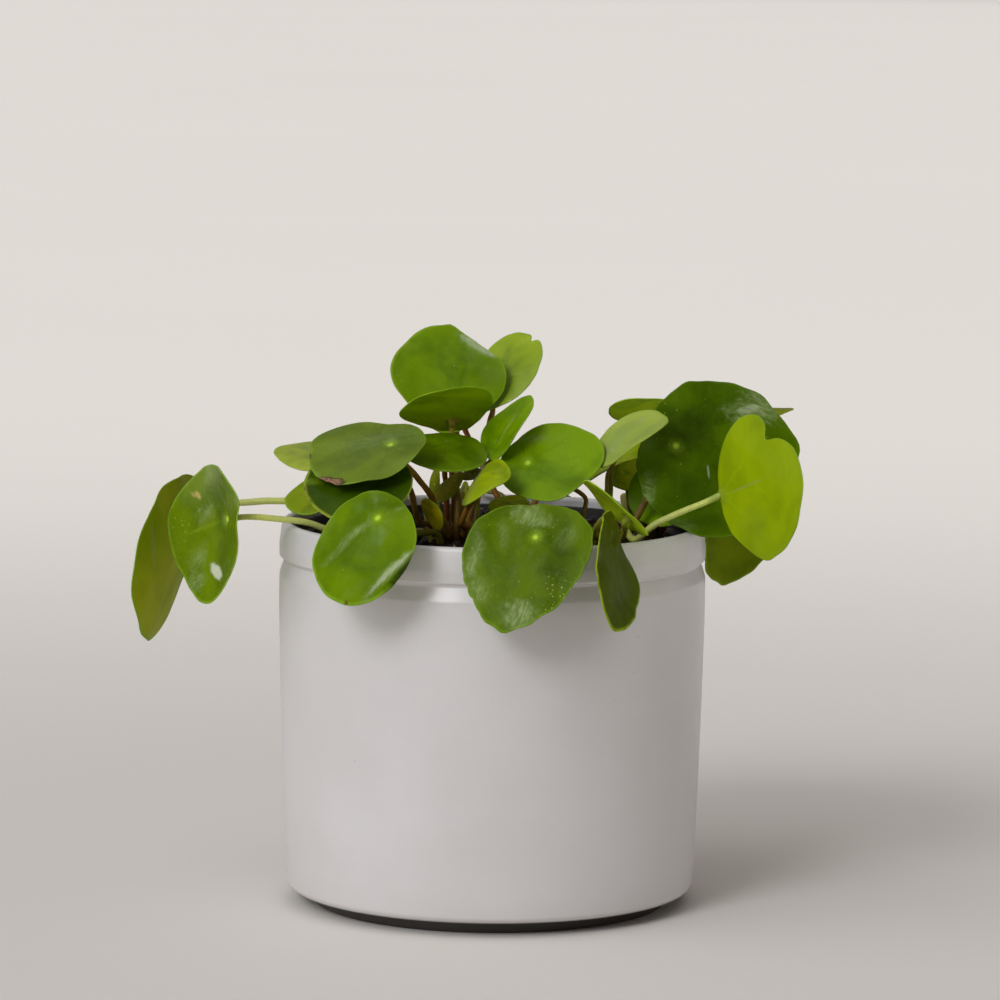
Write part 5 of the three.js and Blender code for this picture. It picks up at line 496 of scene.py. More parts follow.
    # stalk rings
    total = np.r_[0, np.cumsum(np.linalg.norm(np.diff(points, axis=0), axis=1))]
    total /= total[-1]
    a = u.copy()
    wob = waves(rng, 3, 8, 20)
    ring_list = []
    tg = np.gradient(points, axis=0)
    tg /= np.linalg.norm(tg, axis=1)[:, None]
    for s, (p, t) in enumerate(zip(points, tg)):
        a = a - t * (a @ t)
        a /= np.linalg.norm(a)
        b = np.cross(a, t)
        along_mm = total[s] * arc[-1]
        size_r = radius * look.get("slim", 0.90) * (1 + 0.15 * total[s])
        size_r *= 1 + 0.10 * math.exp(-((along_mm / 3.0) ** 2)) + 0.30 * math.exp(-(((1 - total[s]) * arc[-1] / 2.6) ** 2))
        size_r *= 1 + 0.022 * sum(math.sin(w[0] * along_mm * 1.0 + w[2]) for w in wob)
        flute = 1 + 0.035 * np.cos(3 * ring_angles + ph[0] + 1.2 * total[s])
        ring_list.append(p + np.outer(size_r * flute * np.cos(ring_angles), a) + np.outer(size_r * flute * np.sin(ring_angles), b))
    first = verts[-1]
    under = face(1.02 * radius * np.cos(ring_angles), 1.02 * radius * np.sin(ring_angles), -half(0) - 0.12)
    prev = socket_s
    fillet = []
    for q in (0.2, 0.4, 0.6, 0.8):
        fillet.append((1 - q) ** 2 * first + 2 * q * (1 - q) * under + q * q * ring_list[0])
    joined = fillet + ring_list
    runs = [0.0] * len(fillet) + list(total)
    for k, (pts, run) in enumerate(zip(joined, runs)):
        at = sum(len(b) for b in verts)
        verts.append(pts)
        local.append(np.stack([np.cos(ring_angles) * radius, np.sin(ring_angles) * radius, np.full(sides, run * arc[-1])], 1))
        state.append(np.stack([np.zeros(sides), np.full(sides, run), np.full(sides, min(1.0, (k + 1) / 5))], 1))
        now = at + np.arange(sides)
        for i in range(sides):
            j = (i + 1) % sides
            faces.append((prev[i], now[i], now[j], prev[j]))
        prev = now
    at = sum(len(b) for b in verts)
    verts.append(points[-1][None])
    local.append(np.array([[0, 0, arc[-1]]]))
    state.append(np.array([[0, 1.0, 1.0]]))
    for i in range(sides):
        faces.append((at, prev[(i + 1) % sides], prev[i]))
    faces = [tuple(int(i) for i in f) for f in faces]
    mats = [0] * blade_faces + [1] * (len(faces) - blade_faces)
    shift = rng.rand(3) * 500
    loc = np.vstack(local)
    return dict(
        verts=np.vstack(verts), faces=faces, mats=mats, look=look,
        attributes={"blade": loc, "state": np.vstack(state)}, shift=shift,
    )


# --------------------------------------------------------------- leaf material
def tone(c, k, warm=0.0):
    """A linear colour k times as light, and warmer (yellower) by warm."""
    return (max(0.0, c[0] * k * (1 + warm)), max(0.0, c[1] * k * (1 + 0.35 * warm)), max(0.0, c[2] * k * (1 - 0.8 * warm)))


def spot_distance(T, bx, by, mark):
    """Distance from a mark's centre, 1 at the rim of its ellipse."""
    _, mx, my, rx, ry, turn, _ = mark
    ca, sa = math.cos(math.radians(turn)), math.sin(math.radians(turn))
    dx, dy = T.math("SUBTRACT", bx, mx), T.math("SUBTRACT", by, my)
    px = T.math("ADD", T.math("MULTIPLY", dx, ca / rx), T.math("MULTIPLY", dy, sa / rx))
    py = T.math("ADD", T.math("MULTIPLY", dx, -sa / ry), T.math("MULTIPLY", dy, ca / ry))
    return T.math("SQRT", T.math("ADD", T.math("MULTIPLY", px, px), T.math("MULTIPLY", py, py)))


def blade_material(name, row, look, shift):
    T = Tree("blade_" + name)
    size = row[4]
    length = size[0]
    mean_r = 0.5 * length
    small = min(1.0, length / 45)
    blade_at, bx, by, side = T.attribute("blade")
    _, rho, _, _ = T.attribute("state")
    place, *_ = T.place()
    place = T.vmath("ADD", place, tuple(float(s) for s in shift))
    r = T.math("SQRT", T.math("ADD", T.math("MULTIPLY", bx, bx), T.math("MULTIPLY", by, by)))
    t = T.math("ARCTAN2", by, bx)
    upper = T.ramp(side, -0.25, 0.35)
    top, under = lin(look["top"]), lin(look["under"])

    # soft patches of lighter, yellower and darker tissue
    patch = T.noise(place, 0.045 / small, 2.5, 0.55, 0.6)
    mottle = T.noise(place, 0.23, 4.0, 0.6)
    v = look.get("vary", 1.3)
    a = T.mix(T.ramp(patch, 0.34, 0.66), tone(top, 1 - 0.16 * v, -0.06 * v), tone(top, 1 + 0.20 * v, 0.12 * v))
    a = T.mix(T.ramp(mottle, 0.35, 0.72, 0.0, 0.30 * v), a, tone(top, 1.32, 0.12))
    # toward the rim the tissue is lighter or darker, by leaf
    a = T.mix(T.ramp(rho, 0.55, 1.0, 0.0, abs(look.get("margin", 0.25))), a, tone(top, 1.45 if look.get("margin", 0.25) > 0 else 0.55, 0.15))
    # veins: nine from the stalk's joint, and a fine net between them
    wander = T.math("MULTIPLY", T.math("SUBTRACT", T.noise(place, 0.12, 1.0), 0.5), T.ramp(r, 2, 20, 0.0, 0.5, smooth=False))
    bent = T.math("ADD", T.math("ADD", t, T.math("MULTIPLY", T.math("SINE", t), 0.12)), wander)
    lobe = T.math("ABSOLUTE", T.math("COSINE", T.math("MULTIPLY", bent, 4.5)))
    width = T.ramp(r, 0, mean_r, 0.0, 1.0, smooth=False)
    vein = T.ramp(lobe, T.ramp(width, 0, 1, 0.80, 0.982, smooth=False), 1.0)
    vein = T.math("MULTIPLY", vein, T.ramp(rho, 0.35, 0.95, 1.0, 0.15))
    net = T.voronoi(T.vmath("ADD", place, T.vmath("SCALE", place, scale=0.0)), 0.30 / max(small, 0.5), "DISTANCE_TO_EDGE").outputs["Distance"]
    net_line = T.ramp(net, 0.0, 0.10, 1.0, 0.0)
    a = T.mix(T.math("MULTIPLY", vein, look.get("veins", 0.14)), a, tone(top, 0.70, 0.0))
    a = T.mix(T.math("MULTIPLY", net_line, 0.10), a, tone(top, 0.78, 0.0))
    # the pale spot over the joint, with short rays
    spot = look.get("spot", (182, 226, 56))
    ray = T.math("MULTIPLY", T.ramp(lobe, 0.60, 1.0), T.ramp(r, 1.4 * small, 4.6 * small, look.get("rays", 0.16), 0.0))
    halo = T.ramp(r, 1.0 * small, 4.4 * small, 0.30, 0.0)
    a = T.mix(halo, a, lin(spot))
    a = T.mix(ray, a, lin(spot))
    core = T.ramp(T.math("ADD", r, T.math("MULTIPLY", T.math("SUBTRACT", mottle, 0.5), 1.2)), 0.5 * small, 1.9 * small, look.get("core", 1.0), 0.0)
    a = T.mix(core, a, lin((min(255, spot[0] + 34), min(255, spot[1] + 24), spot[2] + 24)))
    # small pale specks
    dots = T.voronoi(place, 0.62)
    chance = T.node("ShaderNodeSeparateColor")
    T.nt.links.new(dots.outputs["Color"], chance.inputs[0])
    share_of, bright = 0.6 * look.get("specks", 0.10), 0.0
    for m in look.get("marks", []):
        if m[0] == "specks":
            inside = T.ramp(spot_distance(T, bx, by, m), 0.5, 1.1, 1.0, 0.0)
            share_of = T.math("ADD", share_of, T.math("MULTIPLY", inside, m[6]))
            bright = T.math("MULTIPLY", inside, 0.6)
    speck = T.math("MULTIPLY", T.ramp(dots.outputs["Distance"], 0.12, 0.25, 1.0, 0.0), T.math("LESS_THAN", chance.outputs[0], share_of))
    strength = T.math("ADD", T.ramp(T.math("FRACT", T.math("MULTIPLY", chance.outputs[1], 7.0)), 0.0, 1.0, 0.12, 0.50), bright, clamp=True)
    a = T.mix(T.math("MULTIPLY", speck, strength), a, lin((196, 210, 112)))

    # underside: paler, matt, with raised paler veins
    b = T.mix(T.ramp(patch, 0.34, 0.66), tone(under, 1 - 0.14 * v, -0.03 * v), tone(under, 1 + 0.14 * v, 0.08 * v))
    b = T.mix(T.math("MULTIPLY", vein, look.get("under_veins", 0.16)), b, tone(under, 1.35, 0.05))
    b = T.mix(T.math("MULTIPLY", net_line, 0.10), b, tone(under, 1.2, 0.04))
    b = T.mix(T.ramp(r, 1.5 * small, 6.0 * small, 0.45, 0.0), b, lin((144, 170, 56)))
    b = T.mix(T.math("MULTIPLY", speck, 0.3), b, lin((190, 196, 150)))
    base = T.mix(upper, b, a)

    # thin pale rim
    rim_w = look.get("rim_w", 0.75) / mean_r
    edge_noise = T.noise(place, 0.25, 2.0)
    rim = T.math("MULTIPLY", T.ramp(rho, 1 - rim_w * 1.5, 1 - rim_w * 0.35), T.ramp(edge_noise, 0.30, 0.55, 0.45, 1.0))
    base = T.mix(T.math("MULTIPLY", rim, look.get("rim_k", 0.42)), base, lin(look.get("rim", (150, 192, 52))))

    # marks: [kind, x, y, rx, ry, turn, amount] about a point in blade millimetres
    rough_add = None
    wrinkle = T.noise(T.vmath("ADD", T.vmath("MULTIPLY", blade_at, look.get("grain", (0.20, 1.0, 0.0))), tuple(float(q) for q in shift)), 0.75, 3.0, 0.6, 0.9)
    for m in look.get("marks", []):
        kind, mx, my, rx, ry, turn_m, amount = m[:7]
        if kind == "specks":
            continue
        d = spot_distance(T, bx, by, m)
        d = T.math("ADD", d, T.math("MULTIPLY", T.math("SUBTRACT", T.noise(place, 0.55, 3.0), 0.5), 0.5 if kind in ("painted_glint", "deep", "scar") else 0.9))
        if kind == "dry":  # dead brown tissue with dark cracks and a darker border
            inside = T.ramp(d, 0.82, 1.02, 1.0, 0.0)
            border = T.math("MULTIPLY", T.ramp(d, 0.72, 0.95), T.ramp(d, 1.02, 1.35, 1.0, 0.0))
            tissue = T.mix(T.ramp(T.noise(place, 0.9, 4.0, 0.7), 0.35, 0.62), lin((86, 56, 34)), lin((186, 142, 112)))
            base = T.mix(T.math("MULTIPLY", border, 0.85 * amount), base, lin((66, 48, 20)))
            base = T.mix(T.math("MULTIPLY", inside, amount), base, tissue)
            rough_add = inside if rough_add is None else T.math("MAXIMUM", rough_add, inside)
        else:
            # the sheen kind paints a whitish reflection, glint paints a white highlight and deep paints near-black
            # shade
            tint_m = {"pale": (186, 192, 128), "yellow": (168, 172, 60), "dark": (26, 34, 8), "brown": (104, 66, 34), "painted_sheen": (168, 190, 122), "lime": (150, 178, 40), "scar": (212, 194, 112), "painted_glint": (228, 236, 206), "deep": (8, 16, 2)}[kind]
            fade = T.math("ADD", d, T.math("MULTIPLY", T.math("SUBTRACT", T.noise(place, 0.14, 2.0), 0.5), 0.9)) if kind == "painted_sheen" else d
            lo, hi = {"painted_sheen": (0.05, 1.1), "painted_glint": (0.55, 0.98)}.get(kind, (0.25, 1.0))
            cover = T.math("MULTIPLY", T.ramp(fade, lo, hi, 1.0, 0.0), amount)
            if kind == "painted_sheen":  # this kind paints a whitish reflection along the fine wrinkles
                cover = T.math("MULTIPLY", cover, T.ramp(wrinkle, 0.36, 0.62, 0.30, 1.0))
            base = T.mix(cover, base, lin(tint_m))

    # light passes the blade: yellower
    through = T.mix(1.0, base, lin(look.get("glow", (190, 210, 70))), "MULTIPLY")
    through = T.mix(0.35, through, lin((120, 150, 20)))

    # surface
    gloss = look.get("gloss", 0.34)
    worn = T.noise(place, 0.10, 3.0, 0.6)
    rough_top = T.math("ADD", T.ramp(worn, 0.3, 0.7, gloss - 0.07, gloss + 0.13), T.math("MULTIPLY", vein, 0.05))
    rough = T.math("ADD", T.math("MULTIPLY", rough_top, upper), T.math("MULTIPLY", T.math("SUBTRACT", 1.0, upper), 0.52))
    if rough_add is not None:
        rough = T.math("ADD", rough, T.math("MULTIPLY", rough_add, 0.35), clamp=True)
    pebble = T.voronoi(place, 1.15, "SMOOTH_F1").outputs["Distance"]
    crease = T.noise(place, 0.34, 3.0, 0.55, 1.2)
    cr = look.get("crinkle", 1.0)
    relief = T.math("ADD", T.math("MULTIPLY", crease, 0.22 * cr), T.math("MULTIPLY", pebble, 0.05))
    relief = T.math("SUBTRACT", relief, T.math("MULTIPLY", net_line, 0.012 * cr))
    relief = T.math("SUBTRACT", relief, T.math("MULTIPLY", T.math("MULTIPLY", vein, T.math("SUBTRACT", T.math("MULTIPLY", upper, 2.0), 1.0)), 0.05))
    normal = T.bump(relief, look.get("bump", 0.6), 0.0009)
    main = T.principled(base, rough, normal, Specular_IOR_Level=look.get("spec", 0.08), Coat_Weight=look.get("coat", 0.0), Coat_Roughness=0.22)
    tr = T.node("ShaderNodeBsdfTranslucent")
    T.put(tr.inputs[0], through)
    T.nt.links.new(normal, tr.inputs["Normal"])
    mixer = T.node("ShaderNodeMixShader")
    mixer.inputs[0].default_value = look.get("thin", 0.16)
    T.nt.links.new(main, mixer.inputs[1])
    T.nt.links.new(tr.outputs[0], mixer.inputs[2])
    T.out(mixer.outputs[0])
    return T.mat


STALKS = {
    # young end, middle, old end
    "lime": ((206, 218, 106), (208, 216, 122), (188, 192, 84)),
    "olive": ((164, 174, 50), (150, 150, 46), (138, 118, 38)),
    "brown": ((150, 138, 44), (138, 100, 34), (108, 68, 28)),
    "red": ((160, 124, 40), (166, 90, 28), (124, 62, 22)),
    "tan": ((174, 152, 56), (170, 120, 42), (136, 88, 30)),
    "dark": ((96, 92, 30), (84, 64, 26), (66, 44, 20)),
}


def stalk_material(kind):
    T = Tree("stalk_" + kind)
    place, *_ = T.place()
    _, _, _, along = T.attribute("blade")
    _, _, run, _ = T.attribute("state")
    young, middle, old = (lin(c) for c in STALKS[kind])
    base = T.mix(T.ramp(run, 0.0, 0.45), young, middle)
    base = T.mix(T.ramp(run, 0.45, 1.0), base, old)
    base = T.mix(T.ramp(along, 0.5, 5.0, 0.75, 0.0), base, lin((132, 160, 44)))
    long = T.vmath("MULTIPLY", place, (1.0, 1.0, 0.25))
    streak = T.noise(long, 1.1, 3.0, 0.6)
    base = T.mix(T.ramp(streak, 0.32, 0.7, 0.0, 0.30 if kind == "lime" else 0.50), base, tone(middle, 0.58, 0.10))
    cloud = T.noise(place, 0.10, 2.0)
    base = T.mix(T.ramp(cloud, 0.4, 0.7, 0.0, 0.40), base, tone(young, 1.15, 0.05))
    dots = T.voronoi(long, 1.6)
    chance = T.node("ShaderNodeSeparateColor")
    T.nt.links.new(dots.outputs["Color"], chance.inputs[0])
    fleck = T.math("MULTIPLY", T.ramp(dots.outputs["Distance"], 0.10, 0.28, 1.0, 0.0), T.math("LESS_THAN", chance.outputs[0], 0.30))
    base = T.mix(T.math("MULTIPLY", fleck, 0.5), base, lin((84, 50, 30)))
    rough = T.ramp(streak, 0.3, 0.7, 0.34, 0.52)
    normal = T.bump(T.math("ADD", streak, T.math("MULTIPLY", T.noise(place, 3.0, 2.0), 0.3)), 0.35, 0.0004)
    main = T.principled(base, rough, normal, Specular_IOR_Level=0.25)
    T.out(main)
    return T.mat


# ------------------------------------------------------------- other materials
def glaze_material():
    T = Tree("satin_glaze")
    place, _, _, z = T.place()
    cloud = T.noise(place, 0.018, 3.0, 0.5)
    base = T.mix(T.ramp(cloud, 0.3, 0.7), lin((218, 215, 215)), lin((225, 222, 223)))
    fine = T.noise(place, 0.9, 3.0, 0.6)
    base = T.mix(T.ramp(fine, 0.5, 0.8, 0.0, 0.12), base, lin((208, 203, 196)))
    dots = T.voronoi(place, 0.11)
    chance = T.node("ShaderNodeSeparateColor")
    T.nt.links.new(dots.outputs["Color"], chance.inputs[0])
    dot = T.math("MULTIPLY", T.ramp(dots.outputs["Distance"], 0.018, 0.036, 1.0, 0.0), T.math("LESS_THAN", chance.outputs[0], 0.30))
    base = T.mix(T.math("MULTIPLY", dot, 0.62), base, lin((126, 114, 100)))
    dust = T.ramp(z, 0.0, 16.0, 0.22, 0.0)
    base = T.mix(T.math("MULTIPLY", dust, T.noise(place, 0.2, 3.0)), base, lin((178, 170, 158)))
    # painted shade: below about 5 mm the foot is painted near-black for the shadow under the recessed foot
    base = T.mix(T.ramp(z, 5.2, 6.4, 1.0, 0.0), base, lin((50, 43, 38)))
    rough = T.ramp(cloud, 0.3, 0.7, 0.42, 0.52)
    ripple = T.noise(T.vmath("MULTIPLY", place, (1.0, 1.0, 1.8)), 0.045, 2.0)
    relief = T.math("ADD", ripple, T.math("MULTIPLY", T.noise(place, 0.8, 2.0), 0.045))
    normal = T.bump(relief, 0.30, 0.0012)
    T.out(T.principled(base, rough, normal, Specular_IOR_Level=0.5, Coat_Weight=0.45, Coat_Roughness=0.22))
    return T.mat


def plastic_material():
    T = Tree("grow_plastic")
    place, _, _, z = T.place()
    cloud = T.noise(place, 0.06, 3.0)
    base = T.mix(cloud, lin((22, 21, 20)), lin((34, 32, 30)))
    dust = T.noise(place, 1.4, 4.0, 0.7)
    base = T.mix(T.ramp(dust, 0.55, 0.75, 0.0, 0.5), base, lin((86, 74, 60)))
    rough = T.ramp(cloud, 0.3, 0.7, 0.42, 0.60)
    normal = T.bump(T.noise(place, 2.5, 2.0), 0.25, 0.0003)
    T.out(T.principled(base, rough, normal, Specular_IOR_Level=0.5))
    return T.mat


def soil_material():
    T = Tree("potting_soil")
    place, *_ = T.place()
    big = T.noise(place, 0.10, 3.0, 0.6)
    mid = T.noise(place, 0.55, 4.0, 0.65)
    base = T.mix(T.ramp(mid, 0.3, 0.7), lin((24, 17, 12)), lin((58, 42, 30)))
    base = T.mix(T.ramp(big, 0.35, 0.65, 0.0, 0.5), base, lin((36, 27, 20)))
    bits = T.voronoi(place, 0.42)
    chance = T.node("ShaderNodeSeparateColor")
    T.nt.links.new(bits.outputs["Color"], chance.inputs[0])
    base = T.mix(T.math("MULTIPLY", T.math("LESS_THAN", chance.outputs[0], 0.16), T.ramp(bits.outputs["Distance"], 0.2, 0.5, 0.8, 0.0)), base, lin((112, 82, 54)))
    base = T.mix(T.math("MULTIPLY", T.math("GREATER_THAN", chance.outputs[1], 0.93), T.ramp(bits.outputs["Distance"], 0.15, 0.32, 0.9, 0.0)), base, lin((170, 160, 140)))
    rough = T.ramp(mid, 0.3, 0.7, 0.82, 0.98)
    normal = T.bump(T.math("ADD", T.noise(place, 1.6, 5.0, 0.7), T.math("MULTIPLY", mid, 0.8)), 0.8, 0.0010)
    T.out(T.principled(base, rough, normal, Specular_IOR_Level=0.3))
    return T.mat


def bark_material():
    T = Tree("woody_bark")
    place, *_ = T.place()
    long = T.vmath("MULTIPLY", place, (1.0, 1.0, 0.35))
    grain = T.noise(long, 0.9, 4.0, 0.65)
    base = T.mix(T.ramp(grain, 0.32, 0.68), lin((58, 40, 26)), lin((124, 94, 64)))
    cloud = T.noise(place, 0.22, 2.0)
    base = T.mix(T.ramp(cloud, 0.45, 0.7, 0.0, 0.5), base, lin((98, 92, 48)))
    rough = T.ramp(grain, 0.3, 0.7, 0.66, 0.9)
    normal = T.bump(grain, 0.7, 0.0007)
    T.out(T.principled(base, rough, normal, Specular_IOR_Level=0.35))
    return T.mat


def floor_material():
    T = Tree("pale_floor")
    place, *_ = T.place()
    cloud = T.noise(T.vmath("SCALE", place, scale=0.001), 1.3, 3.0)
    base = T.mix(cloud, lin((241, 236, 230)), lin((244, 239, 233)))
    T.out(T.principled(base, 0.75, None, Specular_IOR_Level=0.15))
    return T.mat


# ------------------------------------------------------------------ the pieces
def lathe(profile, segments, wobble=None):
    """A closed turned body: profile runs from the axis at the foot, out, up and back to the axis."""
    profile = np.array(profile, float)
    inner = profile[1:-1]
    a = 2 * np.pi * np.arange(segments) / segments
    verts = [np.array([[0, 0, profile[0][1]]])]
    for r, z in inner:
        rr = np.full(segments, r)
        if wobble is not None:
            rr = rr + wobble(a, r, z)
        verts.append(np.stack([rr * np.cos(a), rr * np.sin(a), np.full(segments, z)], 1))
    verts.append(np.array([[0, 0, profile[-1][1]]]))
    faces = []
    at = lambda k, i: 1 + k * segments + i % segments
    last = 1 + len(inner) * segments
    for i in range(segments):
        faces.append((0, at(0, i + 1), at(0, i)))
        for k in range(len(inner) - 1):
            faces.append((at(k, i), at(k, i + 1), at(k + 1, i + 1), at(k + 1, i)))
        faces.append((last, at(len(inner) - 1, i), at(len(inner) - 1, i + 1)))
    return np.vstack(verts), faces


def filleted(points, steps=5):
    """points are [r, z] or [r, z, fillet radius]; each fillet becomes an arc, and long runs get more points."""
    out = []
    n = len(points)
    for i, p in enumerate(points):
        q = np.array(p[:2], float)
        rad = p[2] if len(p) > 2 else 0
        if not rad or i in (0, n - 1):
            out.append(q)
            continue
        a, b = np.array(points[i - 1][:2], float) - q, np.array(points[i + 1][:2], float) - q
        la, lb = np.linalg.norm(a), np.linalg.norm(b)
        a, b = a / la, b / lb
        half = 0.5 * math.acos(max(-1, min(1, float(a @ b))))
        cut = min(rad / math.tan(half), 0.47 * la, 0.47 * lb)
        rad = cut * math.tan(half)
        mid = (a + b) / np.linalg.norm(a + b)
        centre = q + mid * rad / math.sin(half)
        start, end = q + a * cut - centre, q + b * cut - centre
        a0, a1 = math.atan2(start[1], start[0]), math.atan2(end[1], end[0])
        turn = (a1 - a0 + math.pi) % (2 * math.pi) - math.pi
        for k in range(steps + 1):
            t = a0 + turn * k / steps
            out.append(centre + rad * np.array([math.cos(t), math.sin(t)]))
    dense = [out[0]]
    for p in out[1:]:
        gap = np.linalg.norm(p - dense[-1])
        count = max(1, int(gap / 6))
        start = dense[-1]
        for k in range(1, count + 1):
            dense.append(start + (p - start) * k / count)
    return dense


def build_pots():
    # ceramic cover pot: straight band at the mouth over a fine groove, rounded shoulder, slight taper to a recessed foot
    outline = filleted(
        [
            [0, 0.9], [64, 0.9], [66.5, 0.0, 0.5], [71.0, 0.0, 0.9], [71.6, 5.3, 0.8],
            [79.2, 5.4, 1.0], [81.3, 7.2, 2.6], [82.0, 16, 6], [83, 43, 40], [84.2, 84, 60], [84.95, 118, 20], [84.95, 127, 8],
            [84.9, 131.6, 4.5], [83.5, 135.9, 2.2], [83.1, 137.2, 0.5], [83.3, 138.5, 0.3], [84.9, 138.9, 0.6], [85.0, 143.5, 6], [83.9, 153.0, 2.4],
            [80.5, 152.95, 1.7], [80.5, 149, 3], [78.6, 84, 40], [77.5, 22, 8], [75.0, 12.3, 6], [66, 12, 3], [0, 12],
        ],
        6,
    )
    thrown = lambda a, r, z: 0.10 * np.sin(2 * a + 0.02 * z) * (r > 60) + 0.06 * np.sin(3 * a - 0.013 * z + 1) * (r > 60)
    verts, faces = lathe(outline, 224, lambda a, r, z: thrown(a, r, z) if r > 60 else 0 * a)
    make_object("cover_pot", verts, faces, [glaze_material()], "ceramic_pot")
    # thin plastic grow pot: rolled rim, a step under it, fine ribs
    outline = filleted(
        [
            [0, 12.9], [54, 12.9, 1], [57, 12.35, 1], [61.4, 12.35, 1.0], [62.3, 16, 1], [76.95, 140, 1], [77.2, 144.0, 0.5],
            [79.4, 144.6, 0.7], [79.6, 149.5, 0.62], [78.3, 149.5, 0.62], [78.25, 145.9, 0.6], [75.95, 145.2, 0.5], [75.65, 140, 1],
            [61.0, 15.5, 2], [58, 13.7, 1], [0, 14.0],
        ],
        4,
    )
    ribs = lambda a, r, z: 0.10 * (np.cos(60 * a) > 0.2) * (r > 62) * (r < 77.1) * (z < 140)
    verts, faces = lathe(outline, 240, ribs)
    make_object("grow_pot", verts, faces, [plastic_material()], "nursery_pot")


def icosphere(level):
    p = (1 + 5**0.5) / 2
    v = [(-1, p, 0), (1, p, 0), (-1, -p, 0), (1, -p, 0), (0, -1, p), (0, 1, p), (0, -1, -p), (0, 1, -p), (p, 0, -1), (p, 0, 1), (-p, 0, -1), (-p, 0, 1)]
    v = [np.array(q) / np.linalg.norm(q) for q in v]
    f = [(0, 11, 5), (0, 5, 1), (0, 1, 7), (0, 7, 10), (0, 10, 11), (1, 5, 9), (5, 11, 4), (11, 10, 2), (10, 7, 6), (7, 1, 8),
         (3, 9, 4), (3, 4, 2), (3, 2, 6), (3, 6, 8), (3, 8, 9), (4, 9, 5), (2, 4, 11), (6, 2, 10), (8, 6, 7), (9, 8, 1)]
    for _ in range(level):
        cache, out = {}, []

        def middle(a, b):
            key = (min(a, b), max(a, b))
            if key not in cache:
                m = v[a] + v[b]
                v.append(m / np.linalg.norm(m))
                cache[key] = len(v) - 1
            return cache[key]

        for a, b, c in f:
            ab, bc, ca = middle(a, b), middle(b, c), middle(c, a)
            out += [(a, ab, ca), (b, bc, ab), (c, ca, bc), (ab, bc, ca)]
        f = out
    return np.array(v), f


